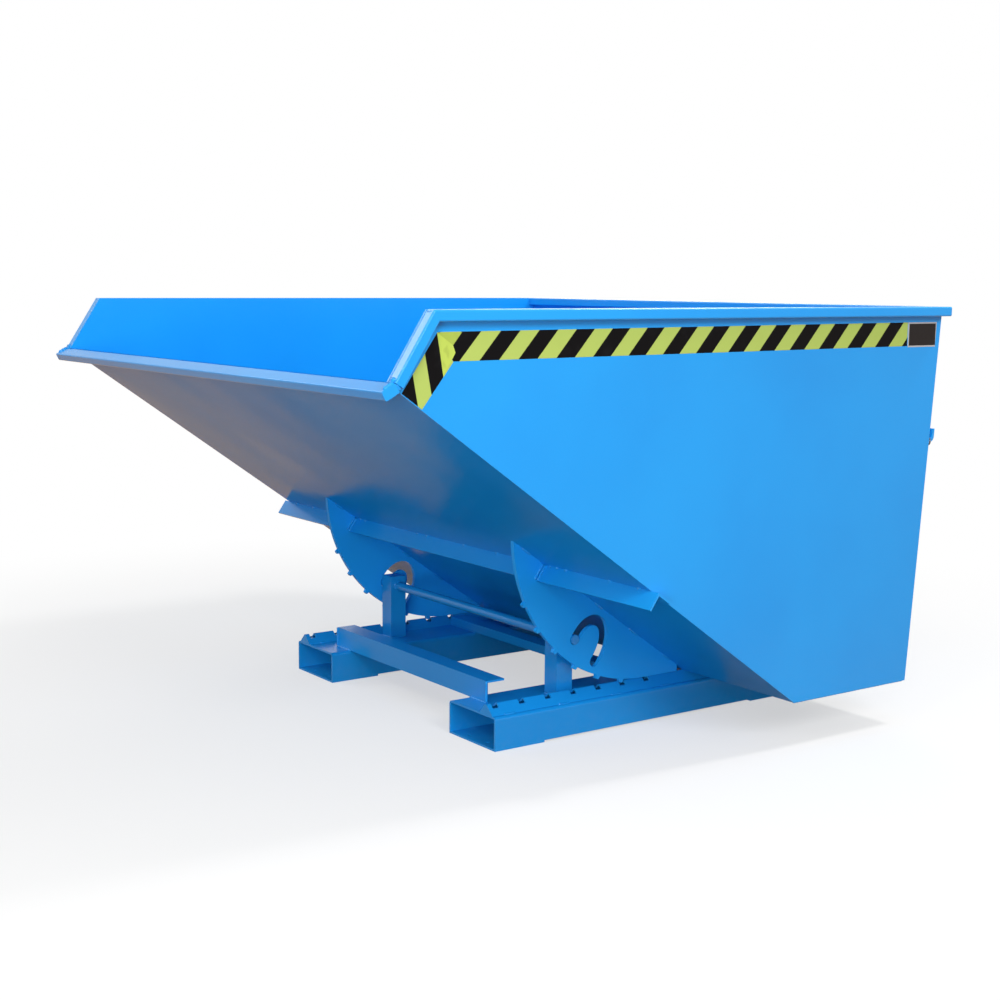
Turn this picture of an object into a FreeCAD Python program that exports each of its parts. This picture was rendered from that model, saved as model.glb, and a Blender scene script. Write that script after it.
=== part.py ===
"""Self-tipping skip for a forklift: a rocking hopper that rolls on a base with two fork pockets.

Stations along the length are counted from the front of the fork pockets, +Y to the rear, and the
frame's origin lies under the middle of the whole skip, so each placement takes off front_setback.
"""
import FreeCAD
import Part
import Sketcher
import math
import os

doc = FreeCAD.newDocument("tipping_skip")
sheet = doc.addObject("Spreadsheet::Sheet", "sheet")

SIZES = (
    # Base with fork pockets
    ("front_setback", 283.75),
    ("pocket_span", 1000),
    ("pocket_width", 200),
    ("pocket_height", 85),
    ("pocket_length", 1000),
    ("pocket_wall", 5),
    ("pocket_fold_radius", 9),
    ("strap_wall", 5),
    ("strap_length", 150),
    ("strap_hole", 8),
    ("strap_hole_gap", 78),
    ("strap_hole_setback", 21),
    # Toothed tracks on the pockets
    ("track_inset", 12),
    ("track_width", 55),
    ("track_height", 25),
    ("track_wall", 4),
    ("track_heel_radius", 6),
    ("track_end_wall", 4),
    ("notch_first", 21.5),
    ("notch_pitch", 80),
    ("notch_count", 7),
    ("notch_length", 18),
    ("notch_depth", 10.5),
    # Cross members, posts and guide shaft
    ("cross_inset", 126),
    ("cross_leg", 55),
    ("cross_wall", 5),
    ("cross_setback", 61),
    ("bar_depth", 50),
    ("bar_wall", 3),
    ("middle_bar_station", 490),
    ("post_side", 50),
    ("post_wall", 4),
    ("post_height", 178),
    ("post_gap", 7),
    ("post_station", 241),
    ("cap_wall", 4),
    ("shaft_diameter", 25),
    ("shaft_height", 238),
    ("shaft_proud", 3),
    ("shaft_clearance", 0.05),
    # Hopper sheets
    ("seat_lift", 0.3),
    ("hopper_width", 1740),
    ("side_wall", 3),
    ("floor_wall", 3),
    ("bottom_wall", 6),
    ("back_wall", 4),
    ("fold_station", 634),
    ("bottom_length", 404),
    ("floor_angle", 35.2),
    ("floor_length", 1419.6),
    ("front_edge", 171),
    ("front_angle", 57.2),
    ("back_lean", 5),
    # Rims and pouring lip
    ("rim_width", 30),
    ("rim_height", 24),
    ("rim_wall", 2.5),
    ("rim_corner_radius", 4),
    ("lip_depth", 36),
    ("lip_height", 22),
    ("lip_wall", 2.5),
    ("lip_cap_wall", 3),
    ("lip_angle", 28),
    # Brace angle under the floor
    ("brace_distance", 570),
    ("brace_leg", 45),
    ("brace_wall", 5),
    ("brace_overhang", 25),
    # Rockers
    ("rocker_wall", 12),
    ("rocker_heel", 24),
    ("roll_radius", 410),
    ("roll_station", 484),
    ("tip_angle", 66),
    ("slot_clearance", 1.2),
    ("tooth_base", 14),
    ("tooth_tip", 8),
    ("tooth_height", 9),
    ("tooth_root", 2),
    ("tooth_count", 6),
    ("tooth_first_notch", 5),
    # Latch on the back wall
    ("latch_height", 200),
    ("latch_standoff", 20),
    ("latch_wall", 10),
    ("latch_arm", 22),
    ("latch_drop", 117.5),
    ("latch_nose", 78),
    ("latch_nose_height", 20),
    ("latch_tail", 38),
    ("latch_eye", 9),
    ("latch_open_angle", 18),
    ("pin_diameter", 12),
    ("pin_clearance", 0.05),
    ("pin_head_diameter", 18),
    ("pin_head", 4),
    ("ear_wall", 6),
    ("ear_gap", 1),
    ("ear_length", 60),
    ("ear_tip", 14),
    ("ear_base_wall", 5),
    # Release cord with its knot, ring and hook
    ("cord_diameter", 6),
    ("knot_diameter", 16),
    ("knot_cut_angle", 60),
    ("knot_shoulder_angle", 30),
    ("ring_radius", 10),
    ("ring_wire", 4),
    ("ring_gap", 0.3),
    ("hook_bar", 8),
    ("hook_reach", 22),
    ("hook_bend", 11),
    ("hook_rise", 20),
    ("hook_height", 732),
    ("hook_inset", 8),
    ("overrun", 5),
)
SLOT_POINTS = 13

for row, (alias, size) in enumerate(SIZES, start=1):
    sheet.set(f"A{row}", alias)
    sheet.set(f"B{row}", str(size))
    sheet.setAlias(f"B{row}", alias)
doc.recompute()

# Places that several pieces share, as expressions of the sheet
SEAT = "(sheet.pocket_height + sheet.track_height + sheet.seat_lift)"
SETBACK = "sheet.front_setback"
HALF_SPAN = "(sheet.pocket_span / 2)"
TRACK_OUTER = f"({HALF_SPAN} - sheet.track_inset)"
TRACK_INNER = f"({TRACK_OUTER} - sheet.track_width)"
TRACK_MIDDLE = f"({TRACK_OUTER} - sheet.track_width / 2)"
POST_OUTER = f"({TRACK_INNER} - sheet.post_gap)"
HALF_CROSS = f"({HALF_SPAN} - sheet.cross_inset)"
HALF_HOPPER = "(sheet.hopper_width / 2)"
HALF_INSIDE = f"({HALF_HOPPER} - sheet.side_wall)"
ROCKER_INNER = f"({TRACK_MIDDLE} - sheet.rocker_wall / 2)"
ROCKER_OUTER = f"({TRACK_MIDDLE} + sheet.rocker_wall / 2)"
SHAFT_STATION = "(sheet.post_station + sheet.post_side / 2)"
REAR_STATION = "(sheet.fold_station + sheet.bottom_length)"
FLOOR_RUN = "(sheet.floor_length * cos(sheet.floor_angle))"
FLOOR_RISE = "(sheet.floor_length * sin(sheet.floor_angle))"
CREST_STATION = f"(sheet.fold_station - {FLOOR_RUN})"
CREST_HEIGHT = f"({SEAT} + {FLOOR_RISE})"
BEND_STATION = f"({CREST_STATION} + sheet.front_edge * cos(sheet.front_angle))"
RIM_TOP = f"({CREST_HEIGHT} + sheet.front_edge * sin(sheet.front_angle))"
BACK_TOP = f"({REAR_STATION} + ({RIM_TOP} - {SEAT}) * tan(sheet.back_lean))"
LIP_STATION = f"({CREST_STATION} + sheet.floor_wall * sin(sheet.floor_angle))"
LIP_TOP = f"({CREST_HEIGHT} + sheet.floor_wall * cos(sheet.floor_angle))"
FLOOR_BEVEL = "(sheet.floor_wall / sin(90 - sheet.floor_angle - sheet.lip_angle))"
FLOOR_END = f"({LIP_STATION} + {FLOOR_BEVEL} * sin(sheet.lip_angle))"
FLOOR_END_HEIGHT = f"({LIP_TOP} - {FLOOR_BEVEL} * cos(sheet.lip_angle))"
PIN_STATION = (
    f"({REAR_STATION} + (sheet.latch_height - {SEAT}) * tan(sheet.back_lean)"
    " + sheet.latch_standoff / cos(sheet.back_lean))"
)
ALONG_X = FreeCAD.Vector(1, 0, 0)
ALONG_Y = FreeCAD.Vector(0, 1, 0)
subparts = []


def value(text):
    """Return the number that an expression of the sheet gives."""
    return float(sheet.evalExpression(text))


def size(alias):
    """Return one driving dimension."""
    return value(f"sheet.{alias}")


def place(piece, x, station, z, turn=None, axis=ALONG_X):
    """Bind a piece's placement to expressions, turned about an axis by an angle in degrees."""
    if turn:
        piece.Placement = FreeCAD.Placement(FreeCAD.Vector(), FreeCAD.Rotation(axis, value(turn)))
        piece.setExpression("Placement.Rotation.Angle", turn)
    piece.setExpression("Placement.Base.x", x)
    piece.setExpression("Placement.Base.y", f"{station} - {SETBACK}")
    piece.setExpression("Placement.Base.z", z)


def keep(piece, label):
    """Name a finished piece and put it on the list of sub-parts."""
    piece.Label = label
    subparts.append(piece)


def new_body(label):
    """Start the body of one sub-part."""
    body = doc.addObject("PartDesign::Body", label)
    keep(body, label)
    return body


def new_sketch(body, name, plane, offset=None):
    """Add a sketch on one of the body's own planes, raised along the plane's normal by an expression."""
    sketch = body.newObject("Sketcher::SketchObject", name)
    support = next(f for f in body.Origin.OriginFeatures if f.Role == f"{plane}_Plane")
    sketch.AttachmentSupport = [(support, "")]
    sketch.MapMode = "FlatFace"
    if offset:
        sketch.setExpression("AttachmentOffset.Base.z", offset)
    return sketch


def add_loop(sketch, points):
    """Draw a closed polygon whose corners are pairs of expressions, and bind every corner."""
    corners = [FreeCAD.Vector(value(u), value(v), 0) for u, v in points]
    first = len(sketch.Geometry)
    for start, end in zip(corners, corners[1:] + corners[:1]):
        sketch.addGeometry(Part.LineSegment(start, end), False)
    for index in range(len(points)):
        after = (index + 1) % len(points)
        sketch.addConstraint(Sketcher.Constraint("Coincident", first + index, 2, first + after, 1))
    for index, pair in enumerate(points):
        for kind, text in zip(("DistanceX", "DistanceY"), pair):
            rule = Sketcher.Constraint(kind, -1, 1, first + index, 1, value(text))
            number = sketch.addConstraint(rule)
            sketch.setExpression(f"Constraints[{number}]", text)


def add_circle(sketch, u, v, radius):
    """Draw a circle whose centre and radius are bound to expressions."""
    centre = FreeCAD.Vector(value(u), value(v), 0)
    normal = FreeCAD.Vector(0, 0, 1)
    number = sketch.addGeometry(Part.Circle(centre, normal, value(radius)), False)
    rules = (
        (Sketcher.Constraint("DistanceX", -1, 1, number, 3, value(u)), u),
        (Sketcher.Constraint("DistanceY", -1, 1, number, 3, value(v)), v),
        (Sketcher.Constraint("Radius", number, value(radius)), radius),
    )
    for rule, text in rules:
        added = sketch.addConstraint(rule)
        sketch.setExpression(f"Constraints[{added}]", text)


def rectangle(u_low, v_low, u_high, v_high):
    """Return the four corners of a rectangle as pairs of expressions."""
    return [(u_low, v_low), (u_high, v_low), (u_high, v_high), (u_low, v_high)]


def ring(u_low, v_low, u_high, v_high, wall):
    """Return the outer and inner rectangles of a box tube's section."""
    inner = (f"{u_low} + {wall}", f"{v_low} + {wall}", f"{u_high} - {wall}", f"{v_high} - {wall}")
    return rectangle(u_low, v_low, u_high, v_high), rectangle(*inner)


def pad(body, sketch, length, reverse=False):
    """Extrude a sketch by a bound length."""
    feature = body.newObject("PartDesign::Pad", f"{sketch.Name}_pad")
    feature.Profile = sketch
    feature.setExpression("Length", length)
    feature.Reversed = reverse
    return feature


def cut(body, sketch, length=None, reverse=False):
    """Pocket a sketch, through everything where no length is given, and check that it removed material."""
    doc.recompute()
    before = body.Shape.Volume
    feature = body.newObject("PartDesign::Pocket", f"{sketch.Name}_pocket")
    feature.Profile = sketch
    feature.Reversed = reverse
    if length:
        feature.setExpression("Length", length)
    else:
        feature.Type = "ThroughAll"
    doc.recompute()
    if not body.Shape.Volume < before:
        raise ValueError(f"{feature.Name} cuts nothing")
    return feature


def block(label, lengths):
    """Make a plate or bar as a box whose three lengths are bound."""
    piece = doc.addObject("Part::Box", label)
    for edge, text in zip(("Length", "Width", "Height"), lengths):
        piece.setExpression(edge, text)
    keep(piece, label)
    return piece


def extrusion(label, plane, loops, length, reverse=False):
    """Make a body by padding one profile of closed loops."""
    body = new_body(label)
    sketch = new_sketch(body, f"{label}_profile", plane)
    for loop in loops:
        add_loop(sketch, loop)
    pad(body, sketch, length, reverse)
    return body


def turned(label, section):
    """Make a body by turning a closed half section about its own upright axis."""
    body = new_body(label)
    sketch = new_sketch(body, f"{label}_section", "XZ")
    add_loop(sketch, section)
    feature = body.newObject("PartDesign::Revolution", f"{label}_turning")
    feature.Profile = sketch
    feature.ReferenceAxis = (sketch, ["V_Axis"])
    return body


def both_sides(inner, outer):
    """Yield each side's name with the lower edge of a piece that runs from inner to outer."""
    yield "right", inner
    yield "left", f"-{outer}"


def round_edges(body, radius, wanted):
    """Fillet the edges of a body's tip whose middle passes the test."""
    doc.recompute()
    base = body.Tip
    names = []
    for number, edge in enumerate(base.Shape.Edges, start=1):
        if wanted(edge):
            names.append(f"Edge{number}")
    feature = body.newObject("PartDesign::Fillet", f"{body.Name}_rounding")
    feature.Base = (base, names)
    feature.setExpression("Radius", radius)
    body.Tip = feature


# Base
def fork_pockets():
    """Folded inverted channels that take the forks, closed below by a strap at each end."""
    width, high, wall = "sheet.pocket_width", "sheet.pocket_height", "sheet.pocket_wall"
    low = "sheet.strap_wall"
    section = [
        ("0", low), ("0", high), (width, high), (width, low), (f"{width} - {wall}", low),
        (f"{width} - {wall}", f"{high} - {wall}"), (wall, f"{high} - {wall}"), (wall, low),
    ]
    inner = f"({HALF_SPAN} - sheet.pocket_width)"
    strap_stations = {"front": "0", "rear": "(sheet.pocket_length - sheet.strap_length)"}
    for side, x in both_sides(inner, HALF_SPAN):
        pocket = extrusion(f"fork_pocket_{side}", "XZ", [section], "sheet.pocket_length", True)
        fold = size("pocket_fold_radius")
        top = size("pocket_height")
        breadth = size("pocket_width")

        def outer_fold(edge):
            middle = edge.CenterOfMass
            along = edge.BoundBox.YLength > fold
            return along and abs(middle.z - top) < fold / 2 and min(middle.x, breadth - middle.x) < fold / 2

        round_edges(pocket, "sheet.pocket_fold_radius", outer_fold)
        place(pocket, x, "0", "0")
        for end, station in strap_stations.items():
            outline = rectangle("0", "0", width, "sheet.strap_length")
            strap = extrusion(f"pocket_strap_{end}_{side}", "XY", [outline], low)
            if end == "front":
                holes = new_sketch(strap, f"strap_holes_{side}", "XY")
                for sign in ("-", "+"):
                    across = f"({width} {sign} sheet.strap_hole_gap) / 2"
                    add_circle(holes, across, "sheet.strap_hole_setback", "sheet.strap_hole / 2")
                cut(strap, holes, reverse=True)
            place(strap, x, station, "0")


def tracks():
    """Angle rails that stand corner up on the pockets, notched along the ridge for the rockers' teeth."""
    width, wall, high = "sheet.track_width", "sheet.track_wall", "sheet.track_height"
    middle, foot = f"({width} / 2)", f"({wall} * sqrt(2))"
    angle = [("0", "0"), (middle, middle), (width, "0"), (f"{width} - {foot}", "0"),
             (middle, f"{middle} - {foot}"), (foot, "0")]
    gusset = [(foot, "0"), (f"{width} - {foot}", "0"), (middle, f"{middle} - {foot}")]
    ridge = value(middle)

    def heel(edge):
        return edge.BoundBox.YLength > ridge and abs(edge.CenterOfMass.z - ridge) < size("track_wall") / 2

    for side, x in both_sides(TRACK_INNER, TRACK_OUTER):
        body = extrusion(f"track_{side}", "XZ", [angle], "sheet.pocket_length", True)
        round_edges(body, "sheet.track_heel_radius", heel)
        notch = new_sketch(body, f"track_notch_{side}", "YZ", "-sheet.overrun")
        half, start = "sheet.notch_length / 2", "sheet.notch_first"
        add_loop(notch, rectangle(f"{start} - {half}", f"{high} - sheet.notch_depth",
                                  f"{start} + {half}", f"{middle} + sheet.overrun"))
        slot = cut(body, notch, f"{width} + 2 * sheet.overrun", True)
        row_of_slots = body.newObject("PartDesign::LinearPattern", f"track_notches_{side}")
        row_of_slots.Originals = [slot]
        row_of_slots.Direction = (notch, ["H_Axis"])
        row_of_slots.setExpression("Length", "sheet.notch_pitch * (sheet.notch_count - 1)")
        row_of_slots.setExpression("Occurrences", "sheet.notch_count")
        body.Tip = row_of_slots
        place(body, x, "0", "sheet.pocket_height")
        end = extrusion(f"track_end_{side}", "XZ", [gusset], "sheet.track_end_wall", True)
        place(end, x, "0", "sheet.pocket_height")


def cross_members():
    """Front angle and two bars that tie the pockets together."""
    leg, wall = "sheet.cross_leg", "sheet.cross_wall"
    angle = [
        ("0", "0"), (wall, "0"), (wall, f"{leg} - {wall}"),
        (leg, f"{leg} - {wall}"), (leg, leg), ("0", leg),
    ]
    front = extrusion("front_cross_angle", "YZ", [angle], f"2 * {HALF_CROSS}")
    place(front, f"-{HALF_CROSS}", "sheet.cross_setback", "sheet.pocket_height")
    stations = {"middle_cross_bar": "sheet.middle_bar_station",
                "rear_cross_bar": "(sheet.pocket_length - sheet.bar_depth)"}
    for label, station in stations.items():
        section = ring("0", "0", "sheet.bar_depth", "sheet.track_height", "sheet.bar_wall")
        bar = extrusion(label, "YZ", section, f"2 * {TRACK_INNER}")
        place(bar, f"-{TRACK_INNER}", station, "sheet.pocket_height")


def posts_and_shaft():
    """Square posts on the pockets and the round shaft that they carry."""
    side_length = "sheet.post_side"
    for side, x in both_sides(f"({POST_OUTER} - sheet.post_side)", POST_OUTER):
        section = ring("0", "0", side_length, side_length, "sheet.post_wall")
        post = extrusion(f"post_{side}", "XY", section, "sheet.post_height")
        bore = new_sketch(post, f"post_bore_{side}", "YZ")
        add_circle(bore, f"{side_length} / 2", "sheet.shaft_height - sheet.pocket_height",
                   "sheet.shaft_diameter / 2 + sheet.shaft_clearance")
        cut(post, bore, reverse=True)
        place(post, x, "sheet.post_station", "sheet.pocket_height")
        cap = block(f"post_cap_{side}", (side_length, side_length, "sheet.cap_wall"))
        place(cap, x, "sheet.post_station", "sheet.pocket_height + sheet.post_height")
    shaft = doc.addObject("Part::Cylinder", "guide_shaft")
    keep(shaft, "guide_shaft")
    reach = f"({ROCKER_OUTER} + sheet.shaft_proud)"
    shaft.setExpression("Radius", "sheet.shaft_diameter / 2")
    shaft.setExpression("Height", f"2 * {reach}")
    place(shaft, f"-{reach}", SHAFT_STATION, "sheet.shaft_height", "90", ALONG_Y)


# Hopper
def hopper_sheets():
    """Side panels, sloping floor, level bottom and leaning back wall."""
    outline = [
        ("sheet.fold_station", SEAT), (REAR_STATION, SEAT), (BACK_TOP, RIM_TOP),
        (BEND_STATION, RIM_TOP), (LIP_STATION, LIP_TOP), (FLOOR_END, FLOOR_END_HEIGHT),
    ]
    for side, x in both_sides(HALF_INSIDE, HALF_HOPPER):
        panel = extrusion(f"side_panel_{side}", "YZ", [outline], "sheet.side_wall")
        place(panel, x, "0", "0")
    slope = [
        ("sheet.fold_station", SEAT),
        ("sheet.fold_station", f"{SEAT} + sheet.floor_wall / cos(sheet.floor_angle)"),
        (LIP_STATION, LIP_TOP),
        (FLOOR_END, FLOOR_END_HEIGHT),
    ]
    inside = f"2 * {HALF_INSIDE}"
    floor_plate = extrusion("floor_plate", "YZ", [slope], inside)
    place(floor_plate, f"-{HALF_INSIDE}", "0", "0")
    run = "(sheet.back_wall / cos(sheet.back_lean))"
    bottom = block("bottom_plate", (inside, f"sheet.bottom_length - {run}", "sheet.bottom_wall"))
    place(bottom, f"-{HALF_INSIDE}", "sheet.fold_station", SEAT)
    top = f"({RIM_TOP} - sheet.rim_height)"
    lean = f"({top} - {SEAT}) * tan(sheet.back_lean)"
    wall = [
        (f"{REAR_STATION} - {run}", SEAT), (REAR_STATION, SEAT),
        (f"{REAR_STATION} + {lean}", top), (f"{REAR_STATION} - {run} + {lean}", top),
    ]
    back = extrusion("back_wall", "YZ", [wall], inside)
    place(back, f"-{HALF_INSIDE}", "0", "0")


def soften_tube(body, along, length_share=0.5):
    """Round the outer long edges of a box tube that runs along one of its own axes."""
    doc.recompute()
    box = body.Tip.Shape.BoundBox
    spans = {"X": box.XLength, "Y": box.YLength, "Z": box.ZLength}
    across = [name for name in spans if name != along]
    lows = {"X": box.XMin, "Y": box.YMin, "Z": box.ZMin}

    def outer(edge):
        extent = {"X": edge.BoundBox.XLength, "Y": edge.BoundBox.YLength, "Z": edge.BoundBox.ZLength}
        if extent[along] < length_share * spans[along]:
            return False
        middle = {"X": edge.CenterOfMass.x, "Y": edge.CenterOfMass.y, "Z": edge.CenterOfMass.z}
        near = size("rim_wall") / 2
        return all(min(middle[a] - lows[a], lows[a] + spans[a] - middle[a]) < near for a in across)

    round_edges(body, "sheet.rim_corner_radius", outer)


def rims():
    """Box tubes round the mouth, mitred where the side rims turn down to the lip."""
    width, high, wall = "sheet.rim_width", "sheet.rim_height", "sheet.rim_wall"
    section = ring("0", f"-{high}", width, "0", wall)
    turn = "sheet.front_angle"
    inset = f"{high} * tan({turn} / 2)"
    past = f"-{high} - sheet.overrun"
    for side, x in both_sides(HALF_HOPPER, f"({HALF_HOPPER} + {width})"):
        top = extrusion(f"side_rim_{side}", "XZ", section, f"{BACK_TOP} - {BEND_STATION}", True)
        mitre = new_sketch(top, f"side_rim_mitre_{side}", "YZ")
        add_loop(mitre, [("0", "0"), (inset, f"-{high}"), (inset, past), ("-sheet.overrun", past),
                         ("-sheet.overrun", "0")])
        cut(top, mitre, reverse=True)
        soften_tube(top, "Y")
        place(top, x, BEND_STATION, RIM_TOP)
        front = extrusion(f"front_rim_{side}", "XZ", section, "sheet.front_edge - sheet.floor_wall")
        mitre = new_sketch(front, f"front_rim_mitre_{side}", "YZ")
        add_loop(mitre, [("0", "0"), (f"-{inset}", f"-{high}"), (f"-{inset}", past), ("sheet.overrun", past),
                         ("sheet.overrun", "0")])
        cut(front, mitre, reverse=True)
        soften_tube(front, "Y")
        place(front, x, BEND_STATION, RIM_TOP, turn)
    rear = extrusion("rear_rim", "YZ", ring(f"-{width}", f"-{high}", "0", "0", wall), f"2 * {HALF_INSIDE}")
    soften_tube(rear, "X")
    place(rear, f"-{HALF_INSIDE}", BACK_TOP, RIM_TOP)
    depth = "sheet.lip_depth"
    lip = extrusion("pouring_lip", "YZ", ring(f"-{depth}", "-sheet.lip_height", "0", "0", "sheet.lip_wall"),
                    f"2 * ({HALF_HOPPER} + {width})")
    soften_tube(lip, "X")
    place(lip, f"-({HALF_HOPPER} + {width})", LIP_STATION, LIP_TOP, "sheet.lip_angle")
    bore = rectangle(f"sheet.lip_wall - {depth}", "sheet.lip_wall - sheet.lip_height", "-sheet.lip_wall",
                     "-sheet.lip_wall")
    end = f"({HALF_HOPPER} + {width})"
    for side, x in both_sides(f"({end} - sheet.lip_cap_wall)", end):
        cap = extrusion(f"lip_cap_{side}", "YZ", [bore], "sheet.lip_cap_wall")
        place(cap, x, LIP_STATION, LIP_TOP, "sheet.lip_angle")


def floor_braces():
    """Angle across the underside of the floor, in three lengths between the rockers."""
    leg, wall = "sheet.brace_leg", "sheet.brace_wall"
    angle = [
        ("0", "0"), (leg, "0"), (leg, f"-{wall}"),
        (wall, f"-{wall}"), (wall, f"-{leg}"), ("0", f"-{leg}"),
    ]
    station = "sheet.fold_station - sheet.brace_distance * cos(sheet.floor_angle)"
    height = f"{SEAT} + sheet.brace_distance * sin(sheet.floor_angle)"
    end = f"({HALF_HOPPER} + sheet.brace_overhang)"
    spans = {"middle": (f"-{ROCKER_INNER}", ROCKER_INNER), "right": (ROCKER_OUTER, end),
             "left": (f"-{end}", f"-{ROCKER_OUTER}")}
    for name, (low, high) in spans.items():
        brace = extrusion(f"floor_brace_{name}", "YZ", [angle], f"{high} - ({low})")
        place(brace, low, station, height, "-sheet.floor_angle")


def slot_outline(radius, start, half_width, last):
    """Return the edges of the slot that the shaft sweeps in the rocker while the arc rolls along its track.

    start is the shaft's place from the rolling centre at rest, and last is the full roll in radians.
    """
    def path(roll):
        across = start[0] + radius * roll
        cosine, sine = math.cos(roll), math.sin(roll)
        point = FreeCAD.Vector(across * cosine + start[1] * sine, start[1] * cosine - across * sine, 0)
        speed = FreeCAD.Vector(
            radius * cosine - across * sine + start[1] * cosine,
            -radius * sine - across * cosine - start[1] * sine, 0)
        return point, speed.normalize()

    sides = {1: [], -1: []}
    for index in range(SLOT_POINTS):
        point, along = path(last * index / (SLOT_POINTS - 1))
        across = FreeCAD.Vector(-along.y, along.x, 0)
        for hand, points in sides.items():
            points.append(point + across * (hand * half_width))
    curves = {}
    for hand, points in sides.items():
        curves[hand] = Part.BSplineCurve()
        curves[hand].interpolate(points)
    first, away = path(0)
    final, onward = path(last)
    start_cap = Part.Arc(sides[1][0], first - away * half_width, sides[-1][0])
    end_cap = Part.Arc(sides[1][-1], final + onward * half_width, sides[-1][-1])
    return [curves[1], end_cap, curves[-1], start_cap]


def rockers():
    """Toothed plates under the floor, drawn from the rolling centre, with the shaft's slot."""
    radius = size("roll_radius")
    slope = math.radians(size("floor_angle"))
    fold = size("fold_station") - size("roll_station")
    heel = FreeCAD.Vector(fold - size("rocker_heel"), -radius, 0)
    heel_top = heel + FreeCAD.Vector(0, size("rocker_heel") * math.tan(slope), 0)
    # The arc ends where it meets the underside of the floor
    normal = FreeCAD.Vector(math.sin(slope), math.cos(slope), 0)
    up_slope = FreeCAD.Vector(-math.cos(slope), math.sin(slope), 0)
    above = -normal.dot(FreeCAD.Vector(fold, -radius, 0))
    tip = normal * -above + up_slope * math.sqrt(radius ** 2 - above ** 2)
    bottom = FreeCAD.Vector(0, -radius, 0)
    half_turn = math.atan2(-tip.x, -tip.y) / 2
    halfway = FreeCAD.Vector(-math.sin(half_turn), -math.cos(half_turn), 0) * radius
    shaft = (value(f"{SHAFT_STATION} - sheet.roll_station"), value(f"sheet.shaft_height - {SEAT}") - radius)
    half_slot = size("shaft_diameter") / 2 + size("slot_clearance")
    first_notch = size("notch_first") + size("tooth_first_notch") * size("notch_pitch")
    first_tooth = (size("roll_station") - first_notch) / radius
    for side, x in both_sides(ROCKER_INNER, ROCKER_OUTER):
        body = new_body(f"rocker_{side}")
        plate = new_sketch(body, f"rocker_plate_{side}", "YZ")
        plate.addGeometry(Part.Arc(bottom, halfway, tip), False)
        for start, end in ((tip, heel_top), (heel_top, heel), (heel, bottom)):
            plate.addGeometry(Part.LineSegment(start, end), False)
        pad(body, plate, "sheet.rocker_wall")
        tooth = new_sketch(body, f"rocker_tooth_{side}", "YZ")
        out = FreeCAD.Vector(-math.sin(first_tooth), -math.cos(first_tooth), 0)
        across = FreeCAD.Vector(-out.y, out.x, 0)
        root, crown = radius - size("tooth_root"), radius + size("tooth_height")
        base, tip_width = size("tooth_base") / 2, size("tooth_tip") / 2
        corners = [out * root + across * base, out * crown + across * tip_width,
                   out * crown - across * tip_width, out * root - across * base]
        for start, end in zip(corners, corners[1:] + corners[:1]):
            tooth.addGeometry(Part.LineSegment(start, end), False)
        single = pad(body, tooth, "sheet.rocker_wall")
        doc.recompute()
        row_of_teeth = body.newObject("PartDesign::PolarPattern", f"rocker_teeth_{side}")
        row_of_teeth.Originals = [single]
        row_of_teeth.Axis = (tooth, ["N_Axis"])
        row_of_teeth.Reversed = True
        step = "sheet.notch_pitch / sheet.roll_radius * 180 / pi"
        row_of_teeth.setExpression("Angle", f"(sheet.tooth_count - 1) * {step}")
        row_of_teeth.setExpression("Occurrences", "sheet.tooth_count")
        body.Tip = row_of_teeth
        doc.recompute()
        slot = new_sketch(body, f"rocker_slot_{side}", "YZ")
        for edge in slot_outline(radius, shaft, half_slot, math.radians(size("tip_angle"))):
            slot.addGeometry(edge, False)
        cut(body, slot, reverse=True)
        place(body, x, "sheet.roll_station", f"{SEAT} + sheet.roll_radius")


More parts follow.
